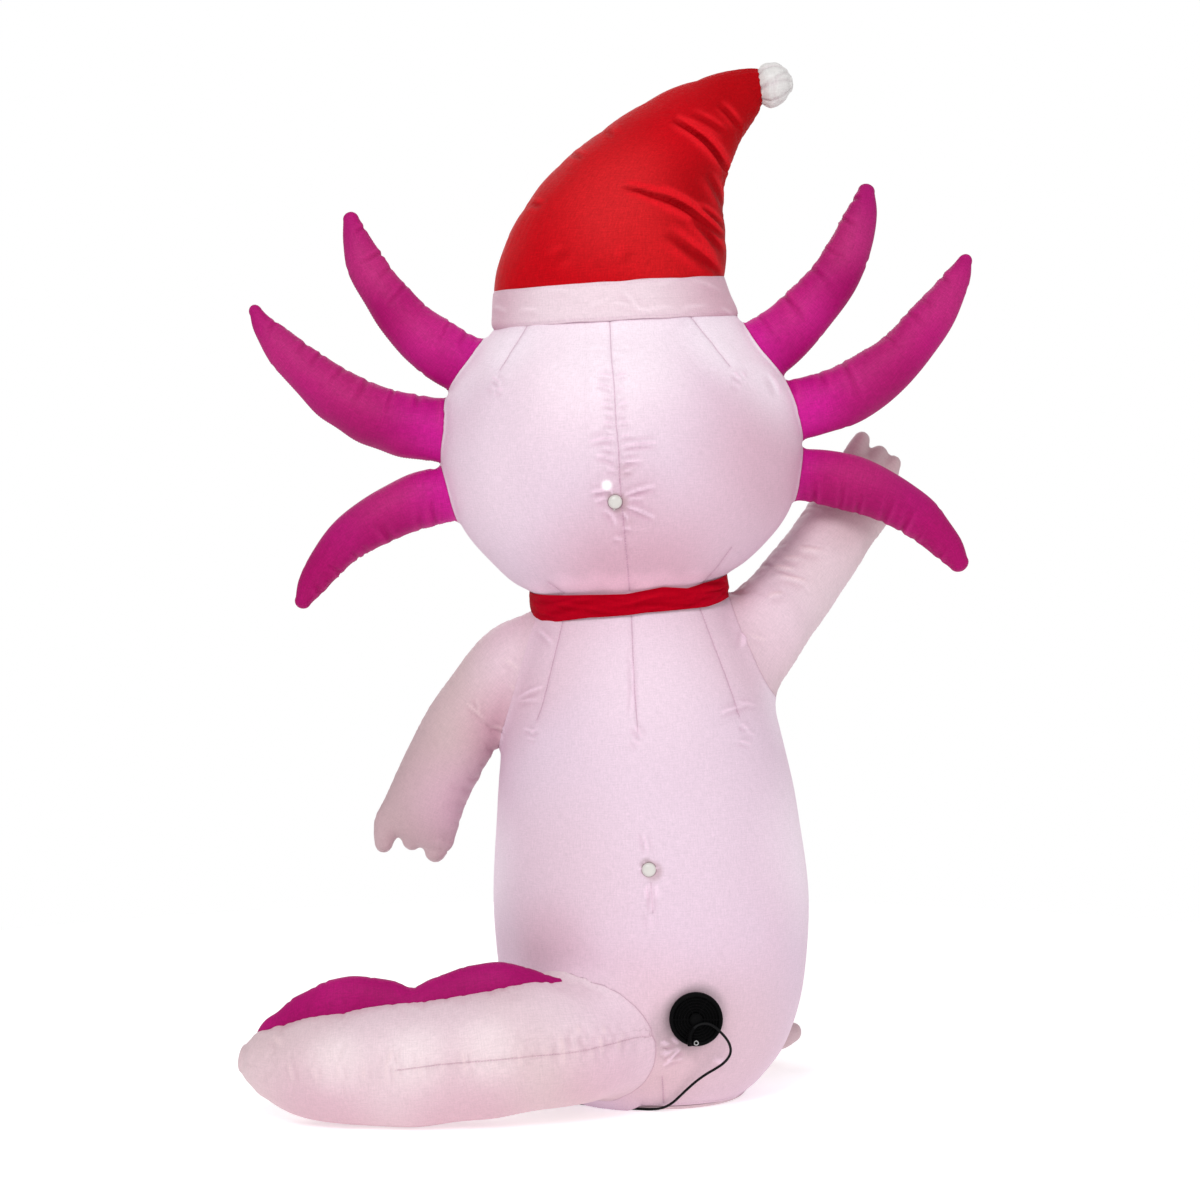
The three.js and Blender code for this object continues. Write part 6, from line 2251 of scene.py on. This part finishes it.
class MakeBlower(bpy.types.Operator):
    """Builds the fan's inlet with its ringed guard and the eyelet under it"""

    bl_idname = "inflatable.blower"
    bl_label = "Fan"

    def execute(self, context):
        values = context.scene.inflatable_fittings
        r, proud, floor = BLOWER_RADIUS, BLOWER_PROUD, BLOWER_PROUD - BLOWER_RECESS
        profile = [
            (0, -0.010), (r - 0.005, -0.010), (r - 0.005, 0.004), (r - 0.001, 0.005), (r, 0.0065),
            (r, proud - 0.003), (r - 0.0007, proud - 0.001), (r - 0.002, proud),
            (r - 0.0045, proud), (r - 0.0055, proud - 0.0006), (r - 0.006, proud - 0.002),
            (r - 0.006, floor - 0.002),
            (r - 0.010, floor - 0.004), (0.012, floor - 0.004), (0.012, floor - 0.001),
            (0.0105, floor + 0.0004), (0, floor + 0.0008),
        ]
        housing = turned("blower_case", profile, BLOWER_CENTRE, FINISHES["black"])
        finish_piece(housing, "black_plastic", "blower_housing")

        seed_mesh = bpy.data.meshes.new("seed")
        made = run_group(grille_group(), seed_mesh, {
            "Rings": values.grille_rings, "Spacing": (r - 0.0055) / values.grille_rings,
            "Wire": values.grille_wire, "Bars": values.grille_bars, "Material": FINISHES["black"],
        })
        x, y, z = BLOWER_CENTRE
        upright = Matrix.Rotation(math.pi / 2, 4, "X")
        made.transform(Matrix.Translation((x, y - proud + 0.0015, z)) @ upright)
        made.name = "blower_guard"
        finish_piece(place("blower_guard", made, None), "black_plastic", "blower_grille")
        hub = turned("blower_hub", [
            (0, floor), (0.0092, floor), (0.0098, proud - 0.0022), (0.0086, proud - 0.0008),
            (0, proud - 0.0002),
        ], BLOWER_CENTRE, FINISHES["black"], 48)
        finish_piece(hub, "black_plastic")
        eyelet = ring_piece(
            "cord_eyelet", (x, y - proud - 0.0016, z - 0.0385), (0.1, 1, 0), 0.0034, 0.0008,
            FINISHES["ring"],
        )
        finish_piece(eyelet, "blade_metal")
        return {"FINISHED"}


class MakeLamps(bpy.types.Operator):
    """Fits the white buttons that hold the lamps inside the cloth"""

    bl_idname = "inflatable.lamps"
    bl_label = "Lamp buttons"

    def execute(self, context):
        profile = [
            (0, -0.004), (0.0142, -0.004), (0.0148, -0.0034), (0.0142, -0.0026),
            (0.0118, -0.002), (0.0118, 0.0030), (0.0116, 0.0046), (0.0108, 0.0062),
            (0.0094, 0.0076), (0.0070, 0.0087), (0.0036, 0.0093), (0, 0.0095),
        ]
        for name, spot, node in (
            ("head_lamp_button", HEAD_BUTTON, "lamp_button_head"),
            ("body_lamp_button", BODY_BUTTON, "lamp_button_body"),
        ):
            button = turned(name, profile, spot, FINISHES["white"], 64)
            finish_piece(button, "white_plastic", node)
        return {"FINISHED"}


OPERATORS = (
    SetStage, MakeCord, MakeBody, MakeHead, MakeHat, MakeCollar, MakeGills, MakeArms, MakeTail,
    MakeFeet, SewPieces, MakeBlower, MakeLamps,
)


class InflatablePanel(bpy.types.Panel):
    """Lists the pieces' operators and the values that shape them"""

    bl_idname = "VIEW3D_PT_inflatable"
    bl_label = "Axolotl inflatable"
    bl_space_type = "VIEW_3D"
    bl_region_type = "UI"
    bl_category = "Inflatable"

    def draw(self, context):
        layout = self.layout
        for operator in OPERATORS:
            layout.operator(operator.bl_idname)
        for name, group in GROUPS.items():
            box = layout.box()
            values = getattr(context.scene, name)
            for label in group.__annotations__:
                box.prop(values, label)


def register():
    for group in (*GROUPS.values(), *OPERATORS, InflatablePanel):
        bpy.utils.register_class(group)
    for name, group in GROUPS.items():
        setattr(bpy.types.Scene, name, PointerProperty(type=group))


def unregister():
    for name in GROUPS:
        delattr(bpy.types.Scene, name)
    for group in (InflatablePanel, *reversed(OPERATORS), *GROUPS.values()):
        bpy.utils.unregister_class(group)


def main():
    register()
    make_finishes()
    for operator in OPERATORS:
        getattr(bpy.ops.inflatable, operator.bl_idname.split(".")[1])()
    bpy.context.view_layer.update()


if __name__ == "__main__":
    main()
